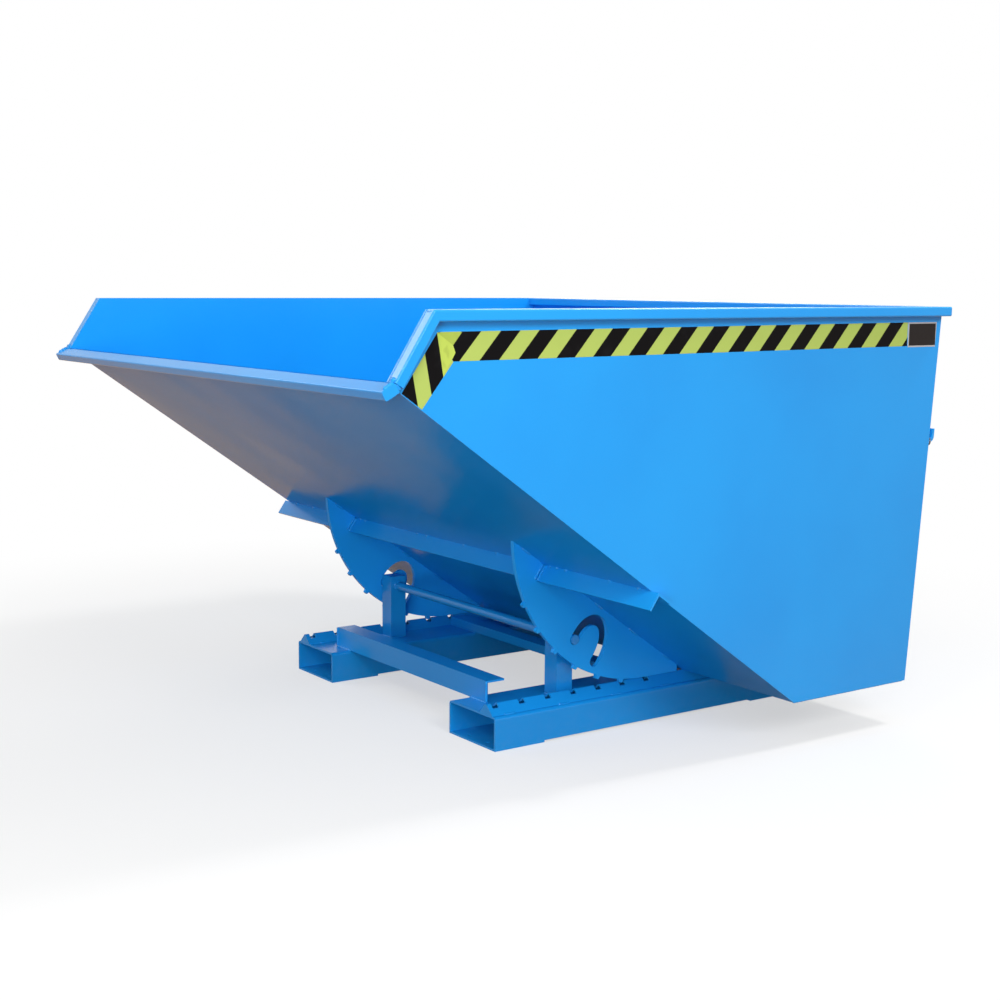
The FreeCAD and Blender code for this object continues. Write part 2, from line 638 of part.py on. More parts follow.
# Latch and release cord
def latch():
    """Hook lever on the back wall that swings under the rear cross bar, with its bracket and pin."""
    gap = "(sheet.latch_wall / 2 + sheet.ear_gap)"
    outside = f"({gap} + sheet.ear_wall)"
    reach, base = "(sheet.latch_standoff + sheet.ear_tip)", "sheet.ear_base_wall"
    section = [
        (f"-{outside}", "0"), (outside, "0"), (outside, reach), (gap, reach),
        (gap, base), (f"-{gap}", base), (f"-{gap}", reach), (f"-{outside}", reach),
    ]
    bracket = extrusion("latch_bracket", "XY", [section], "sheet.ear_length")
    bore = new_sketch(bracket, "latch_bracket_bore", "YZ", f"-{outside} - sheet.overrun")
    pin_bore = "sheet.pin_diameter / 2 + sheet.pin_clearance"
    add_circle(bore, "sheet.latch_standoff", "sheet.ear_length / 2", pin_bore)
    cut(bracket, bore, reverse=True)
    # The bracket's base lies on the leaning wall, with the pin at latch_height
    out, half_ear, lean = "sheet.latch_standoff", "sheet.ear_length / 2", "sheet.back_lean"
    foot = f"{PIN_STATION} - {out} * cos({lean}) - {half_ear} * sin({lean})"
    lift = f"sheet.latch_height + {out} * sin({lean}) - {half_ear} * cos({lean})"
    place(bracket, "0", foot, lift, "-sheet.back_lean")
    arm, drop = "sheet.latch_arm / 2", "sheet.latch_drop"
    nose, high = "sheet.latch_nose", "sheet.latch_nose_height"
    outline = [
        (f"-{arm}", f"-{drop}"), (f"-{nose}", f"-{drop}"), (f"-{nose}", f"-{drop} - {high} / 2"),
        (f"-{nose} + {high} / 2", f"-{drop} - {high}"), (arm, f"-{drop} - {high}"), (arm, f"-{arm}"),
        ("sheet.latch_tail + sheet.latch_eye", f"-{arm}"), ("sheet.latch_tail + sheet.latch_eye", arm),
        (f"-{arm} / 2", arm), (f"-{arm}", f"{arm} / 2"),
    ]
    lever = extrusion("latch_lever", "YZ", [outline], "sheet.latch_wall")
    holes = new_sketch(lever, "latch_lever_holes", "YZ")
    add_circle(holes, "0", "0", "sheet.pin_diameter / 2 + sheet.pin_clearance")
    add_circle(holes, "sheet.latch_tail", "0", "sheet.latch_eye / 2")
    cut(lever, holes, reverse=True)
    place(lever, "-sheet.latch_wall / 2", PIN_STATION, "sheet.latch_height", "sheet.latch_open_angle")
    pin = new_body("latch_pin")
    profile = new_sketch(pin, "latch_pin_profile", "XZ")
    radius, head = "sheet.pin_diameter / 2", "sheet.pin_head_diameter / 2"
    end = f"({outside} + sheet.pin_head)"
    add_loop(profile, [(f"-{end}", "0"), (end, "0"), (end, head), (outside, head), (outside, radius),
                       (f"-{end}", radius)])
    turned = pin.newObject("PartDesign::Revolution", "latch_pin_turned")
    turned.Profile = profile
    turned.ReferenceAxis = (profile, ["H_Axis"])
    place(pin, "0", PIN_STATION, "sheet.latch_height")


def cord_fittings():
    """Bar hook on the back wall, the cord's ring that hangs on it, and the knot at the latch's eye."""
    half_bar, tip = "(sheet.hook_bar / 2)", "(sheet.hook_bend + sheet.hook_rise)"
    outline = [
        ("0", f"-{half_bar}"), (f"sheet.hook_reach + {half_bar}", f"-{half_bar}"),
        (f"sheet.hook_reach + {half_bar}", tip), (f"sheet.hook_reach - {half_bar}", tip),
        (f"sheet.hook_reach - {half_bar}", half_bar), ("0", half_bar),
    ]
    hook = extrusion("cord_hook", "YZ", [outline], "sheet.hook_bar")

    def corner_at(reach, height):
        def wanted(edge):
            spot, near = edge.CenterOfMass, size("ring_gap")
            return abs(spot.y - reach) < near and abs(spot.z - height) < near and edge.BoundBox.XLength > near
        return wanted

    bar = size("hook_bar") / 2
    round_edges(hook, f"sheet.hook_bend + {half_bar}", corner_at(size("hook_reach") + bar, -bar))
    round_edges(hook, f"sheet.hook_bend - {half_bar}", corner_at(size("hook_reach") - bar, bar))
    station = f"{REAR_STATION} + (sheet.hook_height - {SEAT}) * tan(sheet.back_lean)"
    hook_side = f"{HALF_INSIDE} - sheet.hook_inset"
    place(hook, f"{hook_side} - {half_bar}", station, "sheet.hook_height", "-sheet.back_lean")
    half, radius = "(sheet.ring_wire / 2)", "sheet.ring_radius"
    flat = f"({half} * tan(22.5))"
    section = [
        (f"{radius} - {half}", f"-{flat}"), (f"{radius} - {flat}", f"-{half}"),
        (f"{radius} + {flat}", f"-{half}"), (f"{radius} + {half}", f"-{flat}"),
        (f"{radius} + {half}", flat), (f"{radius} + {flat}", half),
        (f"{radius} - {flat}", half), (f"{radius} - {half}", flat),
    ]
    ring_piece = turned("cord_ring", section)
    bore = "(sheet.ring_radius - sheet.ring_wire / 2 - sheet.ring_gap)"
    hang = f"(sqrt({bore} * {bore} - {half_bar} * {half_bar}) - {half_bar})"
    along = "((sheet.hook_reach - sheet.hook_bend) / 2)"
    place(ring_piece, hook_side,
          f"{station} + {along} * cos(sheet.back_lean) - {hang} * sin(sheet.back_lean)",
          f"sheet.hook_height - {along} * sin(sheet.back_lean) - {hang} * cos(sheet.back_lean)",
          "90 - sheet.back_lean")
    ball = "sheet.knot_diameter / 2"
    flat, cut_radius = f"{ball} * sin(sheet.knot_cut_angle)", f"{ball} * cos(sheet.knot_cut_angle)"
    shoulder, waist = f"{ball} * sin(sheet.knot_shoulder_angle)", f"{ball} * cos(sheet.knot_shoulder_angle)"
    section = [
        ("0", f"-{flat}"), (cut_radius, f"-{flat}"), (waist, f"-{shoulder}"),
        (waist, shoulder), (cut_radius, flat), ("0", flat),
    ]
    knot = turned("cord_knot", section)
    place(knot, f"-(sheet.latch_wall / 2 + sheet.ring_gap + {flat})",
          f"{PIN_STATION} + sheet.latch_tail * cos(sheet.latch_open_angle)",
          "sheet.latch_height + sheet.latch_tail * sin(sheet.latch_open_angle)", "90", ALONG_Y)


# Route of the cord from the latch's eye to the ring: x, station and height
CORD_ROUTE = (
    (-5.3, 1102.1, 211.7),
    (46, 1102.1, 211.7),
    (112, 1102.1, 215.1),
    (178, 1102.0, 225.3),
    (244, 1101.8, 242.3),
    (308, 1101.6, 265.3),
    (370, 1101.3, 293.7),
    (430, 1101.0, 326.9),
    (487, 1100.6, 363.6),
    (541, 1100.2, 403.1),
    (592, 1099.8, 444.6),
    (641, 1099.4, 488.3),
    (687, 1099.0, 532.7),
    (731, 1098.6, 578.3),
    (773, 1098.1, 624.6),
    (813, 1097.7, 671.3),
    (851.6, 1097.2, 718.9),
)
LARGEST_ARC_SHARE = 0.45


def cord_path(points):
    """Return straight runs joined by the largest tangent arcs that fit, and the arcs' radii."""
    edges, radii, start = [], [], points[0]
    for before, corner, after in zip(points, points[1:], points[2:]):
        back, onward = before - corner, after - corner
        shorter = min(back.Length, onward.Length)
        half_turn = (math.pi - back.getAngle(onward)) / 2
        trim = LARGEST_ARC_SHARE * shorter
        radius = trim / math.tan(half_turn)
        back.normalize()
        onward.normalize()
        enter, leave = corner + back * trim, corner + onward * trim
        inward = (back + onward).normalize()
        middle = corner + inward * (radius / math.cos(half_turn) - radius)
        edges.append(Part.LineSegment(start, enter).toShape())
        edges.append(Part.Arc(enter, middle, leave).toShape())
        radii.append(radius)
        start = leave
    edges.append(Part.LineSegment(start, points[-1]).toShape())
    return Part.Wire(edges), radii


def release_cord():
    """The cord that lifts the latch's tail, hung up by its ring."""
    points = [FreeCAD.Vector(x, station, z) for x, station, z in CORD_ROUTE]
    wire, radii = cord_path(points)
    radius = size("cord_diameter") / 2
    section = Part.Wire([Part.makeCircle(radius, points[0], points[1] - points[0])])
    cord = doc.addObject("Part::Feature", "release_cord")
    cord.Shape = wire.makePipeShell([section], True, False)
    keep(cord, "release_cord")
    place(cord, "0", "0", "0")
    share = cord.Shape.Volume / (math.pi * radius ** 2 * wire.Length)
    print("cord length", round(wire.Length, 1), "volume share", round(share, 4),
          "radii", [round(r) for r in radii])


def write_parts():
    """Check every object and shape, then write each sub-part to its own file."""
    doc.recompute()
    for item in doc.Objects:
        if "Invalid" in item.State or "Error" in item.State:
            raise ValueError(f"{item.Label} failed: {item.State}")
    os.makedirs("parts", exist_ok=True)
    for piece in subparts:
        shape = piece.Shape
        if shape.isNull() or not shape.isValid() or not shape.Solids:
            raise ValueError(f"{piece.Label} has no valid solid")
        shape.exportStep(f"parts/{piece.Label}.step")
    print(len(subparts), "pieces written")


fork_pockets()
tracks()
cross_members()
posts_and_shaft()
hopper_sheets()
rims()
floor_braces()
rockers()
latch()
cord_fittings()
release_cord()
write_parts()
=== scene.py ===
"""Visual model of a self-tipping skip: paint, hazard tape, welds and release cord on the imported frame."""
from __future__ import annotations

import logging
import math
from dataclasses import dataclass, field
from enum import Enum
from typing import Dict, List, Sequence, Tuple, Union

import bmesh
import bpy
from mathutils import Matrix, Vector

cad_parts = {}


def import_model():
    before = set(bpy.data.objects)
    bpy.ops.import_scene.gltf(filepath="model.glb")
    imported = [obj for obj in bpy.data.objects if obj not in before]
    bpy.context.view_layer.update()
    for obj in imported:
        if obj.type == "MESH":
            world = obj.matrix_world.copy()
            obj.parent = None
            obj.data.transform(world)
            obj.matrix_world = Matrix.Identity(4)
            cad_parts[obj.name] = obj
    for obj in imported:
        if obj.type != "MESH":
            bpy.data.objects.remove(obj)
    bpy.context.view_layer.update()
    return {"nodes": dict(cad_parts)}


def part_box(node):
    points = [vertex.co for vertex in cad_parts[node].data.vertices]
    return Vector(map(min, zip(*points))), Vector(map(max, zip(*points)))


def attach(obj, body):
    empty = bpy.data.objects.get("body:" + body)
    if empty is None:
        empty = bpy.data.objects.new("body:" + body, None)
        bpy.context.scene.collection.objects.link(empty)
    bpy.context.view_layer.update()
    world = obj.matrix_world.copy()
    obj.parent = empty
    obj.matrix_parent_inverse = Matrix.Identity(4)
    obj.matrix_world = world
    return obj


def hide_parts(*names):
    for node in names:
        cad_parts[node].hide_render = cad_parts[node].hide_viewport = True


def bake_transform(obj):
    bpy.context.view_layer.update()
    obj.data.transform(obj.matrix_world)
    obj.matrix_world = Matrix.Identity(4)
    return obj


LOG = logging.getLogger("tipping_skip")
Colour = Tuple[float, float, float]
Point = Tuple[float, float, float]
Station = Tuple[float, float]
Span = Tuple[float, float]
Material = bpy.types.Material
Node = bpy.types.Node
Piece = bpy.types.Object
Shape = bmesh.types.BMesh
Socket = bpy.types.NodeSocket
Entry = Union[float, Sequence[float], "Field", Socket]

# Stations along the length are counted from the front of the fork pockets
SETBACK = 0.28375
# The side panels' outer faces, from the middle
PANEL_FACE = 0.870
# The cord's route is written in millimetres
PER_METRE = 1000
WHITE = (1.0, 1.0, 1.0)


class Side(Enum):
    """The skip's two sides, with the sign of their x."""

    RIGHT = 1
    LEFT = -1

    @property
    def word(self) -> str:
        """The side's name in node names."""
        return self.name.lower()


class Body(Enum):
    """The moving bodies that pieces ride on."""

    BASE = "base"
    SKIP = "skip"
    LATCH = "latch"


class Finish(Enum):
    """The finishes of the frame's own nodes."""

    PAINT = "sky_blue_paint"
    # A darker copy of the paint for the base: painted shade under the skip's overhang
    BASE_PAINT = "base_blue_paint"
    THIN_PAINT = "thin_floor_paint"
    # A brighter copy of the paint for the rockers: painted light
    ROCKER_PAINT = "rocker_blue_paint"
    STEEL = "rolled_steel"


class Ray(Enum):
    """The kinds of rays that a shader can tell apart."""

    CAMERA = "Is Camera Ray"
    GLOSSY = "Is Glossy Ray"
    CLEAR = "Is Transmission Ray"


# Shader graphs
@dataclass(frozen=True)
class Pattern:
    """Cloudy noise: features per metre, octaves, weight of the finer ones, fade, stretch and turn."""

    scale: float
    detail: float = 2.0
    rough: float = 0.5
    span: Span = (0.0, 1.0)
    stretch: Point | None = None
    turn: Point = (0.0, 0.0, 0.0)


@dataclass(frozen=True)
class Relief:
    """A bump: what a height of 1 stands for, in metres, and how much of it shows."""

    height: float
    strength: float


class Field:
    """A value in a shader graph that adds Math nodes when it is used in an expression."""

    def __init__(self, graph: Graph, socket: Socket) -> None:
        """Wrap one output socket of a graph."""
        self.graph = graph
        self.socket = socket

    def _math(self, operation: str, first: Entry, second: Entry = 0.0) -> Field:
        """Add one Math node and give its result."""
        node = self.graph.node("ShaderNodeMath", {"operation": operation}, {0: first, 1: second})
        return Field(self.graph, node.outputs[0])

    def __add__(self, other: Entry) -> Field:
        """Sum."""
        return self._math("ADD", self, other)

    def __radd__(self, other: Entry) -> Field:
        """Sum, other first."""
        return self._math("ADD", other, self)

    def __sub__(self, other: Entry) -> Field:
        """Difference."""
        return self._math("SUBTRACT", self, other)

    def __rsub__(self, other: Entry) -> Field:
        """Difference, other first."""
        return self._math("SUBTRACT", other, self)

    def __mul__(self, other: Entry) -> Field:
        """Product."""
        return self._math("MULTIPLY", self, other)

    def __truediv__(self, other: Entry) -> Field:
        """Quotient."""
        return self._math("DIVIDE", self, other)

    def fraction(self) -> Field:
        """The part after the decimal point."""
        return self._math("FRACT", self)

    def swing(self) -> Field:
        """The value counted from a half."""
        return self - 0.5

    def size(self) -> Field:
        """The value without its sign."""
        return self._math("ABSOLUTE", self)

    def larger(self, other: Entry) -> Field:
        """The larger of two values."""
        return self._math("MAXIMUM", self, other)

    def root(self) -> Field:
        """The square root."""
        return self._math("SQRT", self)

    def fade(self, low: float, high: float) -> Field:
        """Rise smoothly from 0 to 1.

        Args:
            low: Where it is 0.
            high: Where it is 1, which may be the smaller one.

        Returns:
            The faded value.
        """
        settings = {"interpolation_type": "SMOOTHSTEP", "clamp": True}
        sockets = {"Value": self, "From Min": low, "From Max": high}
        return Field(self.graph, self.graph.node("ShaderNodeMapRange", settings, sockets).outputs["Result"])


class Graph:
    """A node tree of a material or a world, with short ways to add what the finishes use."""

    def __init__(self, owner: Union[Material, bpy.types.World]) -> None:
        """Empty the tree, and start it with the place in the piece's own coordinates.

        Args:
            owner: Whose tree it is.
        """
        self.owner = owner
        owner.use_nodes = True
        self.tree = owner.node_tree
        self.tree.nodes.clear()
        self.place = self.node("ShaderNodeTexCoord").outputs["Object"]

    @classmethod
    def of_material(cls, name: str) -> Graph:
        """Start a new material's tree."""
        return cls(bpy.data.materials.new(name))

    def node(
        self,
        kind: str,
        settings: Dict[str, object] | None = None,
        sockets: Dict[Union[int, str], Entry] | None = None,
    ) -> Node:
        """Add a node.

        Args:
            kind: The node's type.
            settings: Its properties, set first.
            sockets: Values or links of its inputs, by name or number.

        Returns:
            The new node.
        """
        made = self.tree.nodes.new(kind)
        for name, setting in (settings or {}).items():
            setattr(made, name, setting)
        for name, entry in (sockets or {}).items():
            target = made.inputs[name]
            if isinstance(entry, Field):
                self.tree.links.new(entry.socket, target)
            elif isinstance(entry, Socket):
                self.tree.links.new(entry, target)
            else:
                target.default_value = entry
        return made

    def axes(self) -> Tuple[Field, Field, Field]:
        """Split the place into its x, y and z."""
        node = self.node("ShaderNodeSeparateXYZ", sockets={0: self.place})
        return tuple(Field(self, output) for output in node.outputs)

    def noise(self, pattern: Pattern) -> Field:
        """Read a pattern at the place.

        Args:
            pattern: What it looks like.

        Returns:
            The noise from 0 to 1, before its fade.
        """
        place = self.place
        if pattern.stretch is not None:
            drawn = {"Vector": place, "Rotation": pattern.turn, "Scale": pattern.stretch}
            place = self.node("ShaderNodeMapping", sockets=drawn).outputs[0]
        octaves = {"Detail": pattern.detail, "Roughness": pattern.rough}
        node = self.node("ShaderNodeTexNoise", sockets={"Vector": place, "Scale": pattern.scale, **octaves})
        return Field(self, node.outputs[0])

    def blend(self, factor: Entry, first: Entry, second: Entry) -> Socket:
        """Mix two colours by a factor."""
        sockets = {0: factor, 6: _rgba(first), 7: _rgba(second)}
        return self.node("ShaderNodeMix", {"data_type": "RGBA"}, sockets).outputs[2]

    def bump(self, height: Field, relief: Relief, under: Socket | None = None) -> Socket:
        """Raise the surface in shading only.

        Args:
            height: The height pattern, 0 to 1.
            relief: How far and how strongly it rises.
            under: A normal that this one is added to.

        Returns:
            The bumped normal.
        """
        sockets = {"Height": height, "Distance": relief.height, "Strength": relief.strength}
        if under is not None:
            sockets["Normal"] = under
        return self.node("ShaderNodeBump", sockets=sockets).outputs[0]

    def rays(self, kind: Ray) -> Field:
        """Give 1 for rays of one kind, and 0 for other rays."""
        return Field(self, self.node("ShaderNodeLightPath").outputs[kind.value])

    def watched(self) -> Field:
        """Give 1 for rays from the camera, mirrors and glass, and 0 for other rays."""
        return self.rays(Ray.CAMERA).larger(self.rays(Ray.GLOSSY)).larger(self.rays(Ray.CLEAR))

    def light(self, kind: str, colour: Entry, strength: float = 1.0) -> Node:
        """Add a shader that gives light."""
        return self.node(kind, sockets={"Color": _rgba(colour), "Strength": strength})

    def shared(self, share: Field, first: Node, second: Node) -> Socket:
        """Mix two shaders by the second one's share."""
        sockets = {0: share, 1: first.outputs[0], 2: second.outputs[0]}
        return self.node("ShaderNodeMixShader", sockets=sockets).outputs[0]

    def surface(self, **sockets: Entry) -> Material:
        """Finish the material with one Principled shader.

        Args:
            sockets: Its inputs, with underscores for spaces.

        Returns:
            The finished material.
        """
        named = {name.replace("_", " "): _rgba(entry) for name, entry in sockets.items()}
        shader = self.node("ShaderNodeBsdfPrincipled", sockets=named)
        self.node("ShaderNodeOutputMaterial", sockets={"Surface": shader.outputs[0]})
        return self.owner


def _rgba(entry: Entry) -> Entry:
    """Give a plain colour its alpha, and leave other entries alone."""
    return (*entry, 1.0) if isinstance(entry, (tuple, list)) and len(entry) == 3 else entry


# Finishes
@dataclass(frozen=True)
class PaintFinish:
    """Glossy sprayed paint on plate that is a little wavy, with mottling, orange peel, dust and scuffs."""

    name: str
    colour: Colour = (0.010, 0.345, 0.850)
    deep: Colour = (0.008, 0.310, 0.800)
    pale: Colour = (0.160, 0.430, 0.800)
    dust: Colour = (0.330, 0.360, 0.400)
    roughness: float = 0.25
    specular: float = 0.32
    coat: float = 0.12
    coat_roughness: float = 0.06
    waviness: float = 0.20
    wave_height: float = 0.020
    peel_relief: Relief = Relief(0.00025, 0.12)
    dust_top: float = 0.10
    dust_share: float = 0.03
    worn_share: float = 0.14
    worn_roughness: float = 0.15
    grain_roughness: float = 0.06
    clouds: Pattern = Pattern(2.2, 3.0, span=(0.30, 0.75))
    grains: Pattern = Pattern(38.0, 4.0, 0.6, (0.35, 0.75))
    peels: Pattern = Pattern(700.0)
    waves: Pattern = Pattern(2.4, 1.0)
    streaks: Pattern = Pattern(1.6, 5.0, 0.7, (0.70, 0.78), (9.0, 70.0, 26.0), (0.4, 0.2, 0.9))
    patches: Pattern = Pattern(5.0, 3.0, span=(0.55, 0.72))

    def material(self) -> Material:
        """Build the paint's shader.

        Returns:
            The finished material.
        """
        graph = Graph.of_material(self.name)
        height = graph.axes()[2]
        cloud = graph.noise(self.clouds)
        grain = graph.noise(self.grains)
        peel = graph.noise(self.peels)
        wave = graph.noise(self.waves)
        scuffs = graph.noise(self.streaks).fade(*self.streaks.span)
        worn = scuffs * graph.noise(self.patches).fade(*self.patches.span)
        low = height.fade(self.dust_top, 0.0) * grain.fade(*self.grains.span)
        tone = graph.blend(cloud.fade(*self.clouds.span), self.colour, self.deep)
        tone = graph.blend(worn * self.worn_share, tone, self.pale)
        tone = graph.blend(low * self.dust_share, tone, self.dust)
        rough = self.roughness + grain.swing() * self.grain_roughness + worn * self.worn_roughness
        normal = graph.bump(wave, Relief(self.wave_height, self.waviness))
        normal = graph.bump(peel, self.peel_relief, normal)
        return graph.surface(
            Base_Color=tone, Roughness=rough, Specular_IOR_Level=self.specular, Coat_Weight=self.coat,
            Coat_Roughness=self.coat_roughness, Normal=normal,
        )


@dataclass(frozen=True)
class TapeFinish:
    """Reflective hazard tape with slanting bands, each half a period wide."""

    name: str
    lean: float
    period: float
    start: float
    bright: Colour = (0.445, 0.548, 0.124)
    bright_soil: Colour = (0.38, 0.45, 0.10)
    bright_soil_share: float = 0.22
    dark: Colour = (0.005, 0.005, 0.006)
    dark_soil: Colour = (0.018, 0.017, 0.019)
    dark_soil_share: float = 0.5
    band_share: float = 0.25
    softness: float = 0.0004
    roughness: float = 0.34
    specular: float = 0.05
    grains: Pattern = Pattern(1500.0)
    grain_roughness: float = 0.08
    grain_relief: Relief = Relief(0.0001, 0.25)
    soils: Pattern = Pattern(14.0, 4.0, 0.6, (0.50, 0.80))
    soil_roughness: float = 0.14

    def material(self) -> Material:
        """Build the tape's shader.

        Returns:
            The finished material.
        """
        graph = Graph.of_material(self.name)
        _, y, z = graph.axes()
        along = (y - z * self.lean - self.start) / self.period - self.band_share
        wave = (along.fraction().swing().size() - self.band_share) * self.period
        band = wave.fade(-self.softness, self.softness)
        grain = graph.noise(self.grains)
        soil = graph.noise(self.soils).fade(*self.soils.span)
        bright = graph.blend(soil * self.bright_soil_share, self.bright, self.bright_soil)
        dark = graph.blend(soil * self.dark_soil_share, self.dark, self.dark_soil)
        rough = self.roughness + soil * self.soil_roughness + grain.swing() * self.grain_roughness
        normal = graph.bump(grain, self.grain_relief)
        tone = graph.blend(band, dark, bright)
        return graph.surface(
            Base_Color=tone, Roughness=rough, Specular_IOR_Level=self.specular, Normal=normal
        )


@dataclass(frozen=True)
class FoldFinish:
    """The bright back of hazard tape where it is folded over itself, with soft creases whose darker colour
    is painted shade.
    """

    name: str
    bright: Colour = (0.500, 0.610, 0.100)
    # Darker colour in the creases: painted shade
    crease: Colour = (0.360, 0.450, 0.070)
    crease_share: float = 0.6
    crease_relief: Relief = Relief(0.004, 0.3)
    creases: Pattern = Pattern(1.0, 1.0, 0.5, (0.50, 0.70), (1.0, 60.0, 34.0), (0.7, 0.0, 0.0))
    roughness: float = 0.36
    specular: float = 0.20

    def material(self) -> Material:
        """Build the folded tape's shader.

        Returns:
            The finished material.
        """
        graph = Graph.of_material(self.name)
        creases = graph.noise(self.creases)
        # The creases are darkened with painted shade
        share = creases.fade(*self.creases.span) * self.crease_share
        tone = graph.blend(share, self.bright, self.crease)
        normal = graph.bump(creases, self.crease_relief)
        return graph.surface(
            Base_Color=tone, Roughness=self.roughness, Specular_IOR_Level=self.specular, Normal=normal
        )


@dataclass(frozen=True)
class PlateFinish:
    """A bare dark film with a pale edge, where a printed sign would sit."""

    name: str
    low: Station
    high: Station
    edge: float = 0.0035
    softness: float = 0.0004
    film: Colour = (0.014, 0.012, 0.013)
    soil: Colour = (0.032, 0.030, 0.032)
    soil_share: float = 0.4
    soils: Pattern = Pattern(40.0, 4.0, 0.6)
    soil_roughness: float = 0.15
    border: Colour = (0.50, 0.48, 0.47)
    roughness: float = 0.38
    specular: float = 0.12

    def material(self) -> Material:
        """Build the film's shader.

        Returns:
            The finished material.
        """
        graph = Graph.of_material(self.name)
        _, y, z = graph.axes()
        across, up = (
            (axis - (low + high) / 2).size() - (high - low) / 2
            for axis, low, high in zip((y, z), self.low, self.high)
        )
        rim = across.larger(up).fade(-self.edge - self.softness, -self.edge)
        soil = graph.noise(self.soils)
        film = graph.blend(soil * self.soil_share, self.film, self.soil)
        tone = graph.blend(rim, film, self.border)
        rough = self.roughness + soil.swing() * self.soil_roughness
        return graph.surface(Base_Color=tone, Roughness=rough, Specular_IOR_Level=self.specular)


@dataclass(frozen=True)
class SteelFinish:
    """Rolled steel, greased and a little stained."""

    name: str
    colour: Colour = (0.115, 0.150, 0.215)
    stain: Colour = (0.055, 0.065, 0.085)
    metallic: float = 0.75
    roughness: float = 0.36
    lines: Pattern = Pattern(1.0, 3.0, stretch=(6.0, 400.0, 400.0))
    line_roughness: float = 0.15
    line_relief: Relief = Relief(0.0001, 0.2)
    stains: Pattern = Pattern(26.0, 4.0, 0.6, (0.40, 0.75))
    stain_roughness: float = 0.2

    def material(self) -> Material:
        """Build the steel's shader.

        Returns:
            The finished material.
        """
        graph = Graph.of_material(self.name)
        lines = graph.noise(self.lines)
        stain = graph.noise(self.stains)
        tone = graph.blend(stain.fade(*self.stains.span), self.colour, self.stain)
        rough = self.roughness + lines.swing() * self.line_roughness + stain.swing() * self.stain_roughness
        normal = graph.bump(lines, self.line_relief)
        return graph.surface(Base_Color=tone, Roughness=rough, Metallic=self.metallic, Normal=normal)


@dataclass(frozen=True)
class CordFinish:
    """Thin white braided cord, with painted shade between its strands."""

    name: str
    light: Colour = (0.72, 0.71, 0.68)
    # Painted shade between the braid's strands, also used as the colour of soil
    dark: Colour = (0.40, 0.39, 0.37)
    pitch: float = 420.0
    slope: float = 3.0
    braid_span: Span = (0.05, 0.7)
    braid_relief: Relief = Relief(0.0005, 0.6)
    soils: Pattern = Pattern(30.0, 3.0, span=(0.5, 0.8))
    soil_share: float = 0.3
    roughness: float = 0.85

    def material(self) -> Material:
        """Build the cord's shader.

        Returns:
            The finished material.
        """
        graph = Graph.of_material(self.name)
        x, y, z = graph.axes()
        one = ((x + z + y * self.slope) * self.pitch).fraction()
        two = ((x + z - y * self.slope) * self.pitch).fraction()
        braid = (one.swing().size() * 2.0) * (two.swing().size() * 2.0)
        soil = graph.noise(self.soils)
        # Darker between the strands: painted shade
        tone = graph.blend(braid.fade(*self.braid_span), self.dark, self.light)
        tone = graph.blend(soil.fade(*self.soils.span) * self.soil_share, tone, self.dark)
        normal = graph.bump(braid, self.braid_relief)
        return graph.surface(Base_Color=tone, Roughness=self.roughness, Normal=normal)


@dataclass(frozen=True)
class FloorFinish:
    """Pale floor that turns into a plain white background further out, with a painted brown reflection that
    only mirrors see.
    """

    name: str
    near: float = 1.3
    far: float = 2.9
    glow_share: float = 0.55
    seen: Colour = (0.90, 0.885, 0.865)
    unseen: Colour = (0.16, 0.16, 0.16)
    # Brown that only mirrors see: a painted reflection in the skip's glossy paint
    reflected: Colour = (0.95, 0.60, 0.27)

    def material(self) -> Material:
        """Build the floor's shader.

        Returns:
            The finished material.
        """
        graph = Graph.of_material(self.name)
        x, y, _ = graph.axes()
        watched = graph.watched()
        mirrored = graph.rays(Ray.GLOSSY)
        distance = (x * x + y * y).root()
        tone = graph.blend(watched, self.unseen, self.seen)
        # Mirrors see the floor brown, which is a painted reflection
        tone = graph.blend(mirrored, tone, self.reflected)
        ground = graph.node("ShaderNodeBsdfDiffuse", sockets={"Color": tone})
        white = graph.light("ShaderNodeEmission", graph.blend(mirrored, WHITE, self.reflected))
        fade = distance.fade(self.near, self.far)
        share = fade * watched + (1.0 - fade) * self.glow_share * graph.rays(Ray.CAMERA)
        graph.node("ShaderNodeOutputMaterial", sockets={"Surface": graph.shared(share, ground, white)})
        return graph.owner


# Meshes
def station(y: float) -> float:
    """Turn a station from the front of the pockets into the frame's y."""
    return y - SETBACK


def put_in_scene(name: str, data: bpy.types.ID) -> Piece:
    """Make an object of its data and link it to the scene.

    Args:
        name: The object's name.
        data: Its mesh, curve, lamp or camera.

    Returns:
        The new object.
    """
    made = bpy.data.objects.new(name, data)
    bpy.context.scene.collection.objects.link(made)
    return made


def add_piece(name: str, shape: Shape, material: Material, body: Body | None = None) -> Piece:
    """Make an object of a bmesh that rides on a body or stands on the stage.

    Args:
        name: The object's name.
        shape: Its shape, which is freed.
        material: Its finish.
        body: What carries it, or none for the stage.

    Returns:
        The new object.
    """
    mesh = bpy.data.meshes.new(name)
    shape.to_mesh(mesh)
    shape.free()
    mesh.materials.append(material)
    piece = put_in_scene(name, mesh)
    if body is None:
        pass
    else:
        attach(piece, body.value)
    LOG.info("%s: %d faces", name, len(mesh.polygons))
    return piece


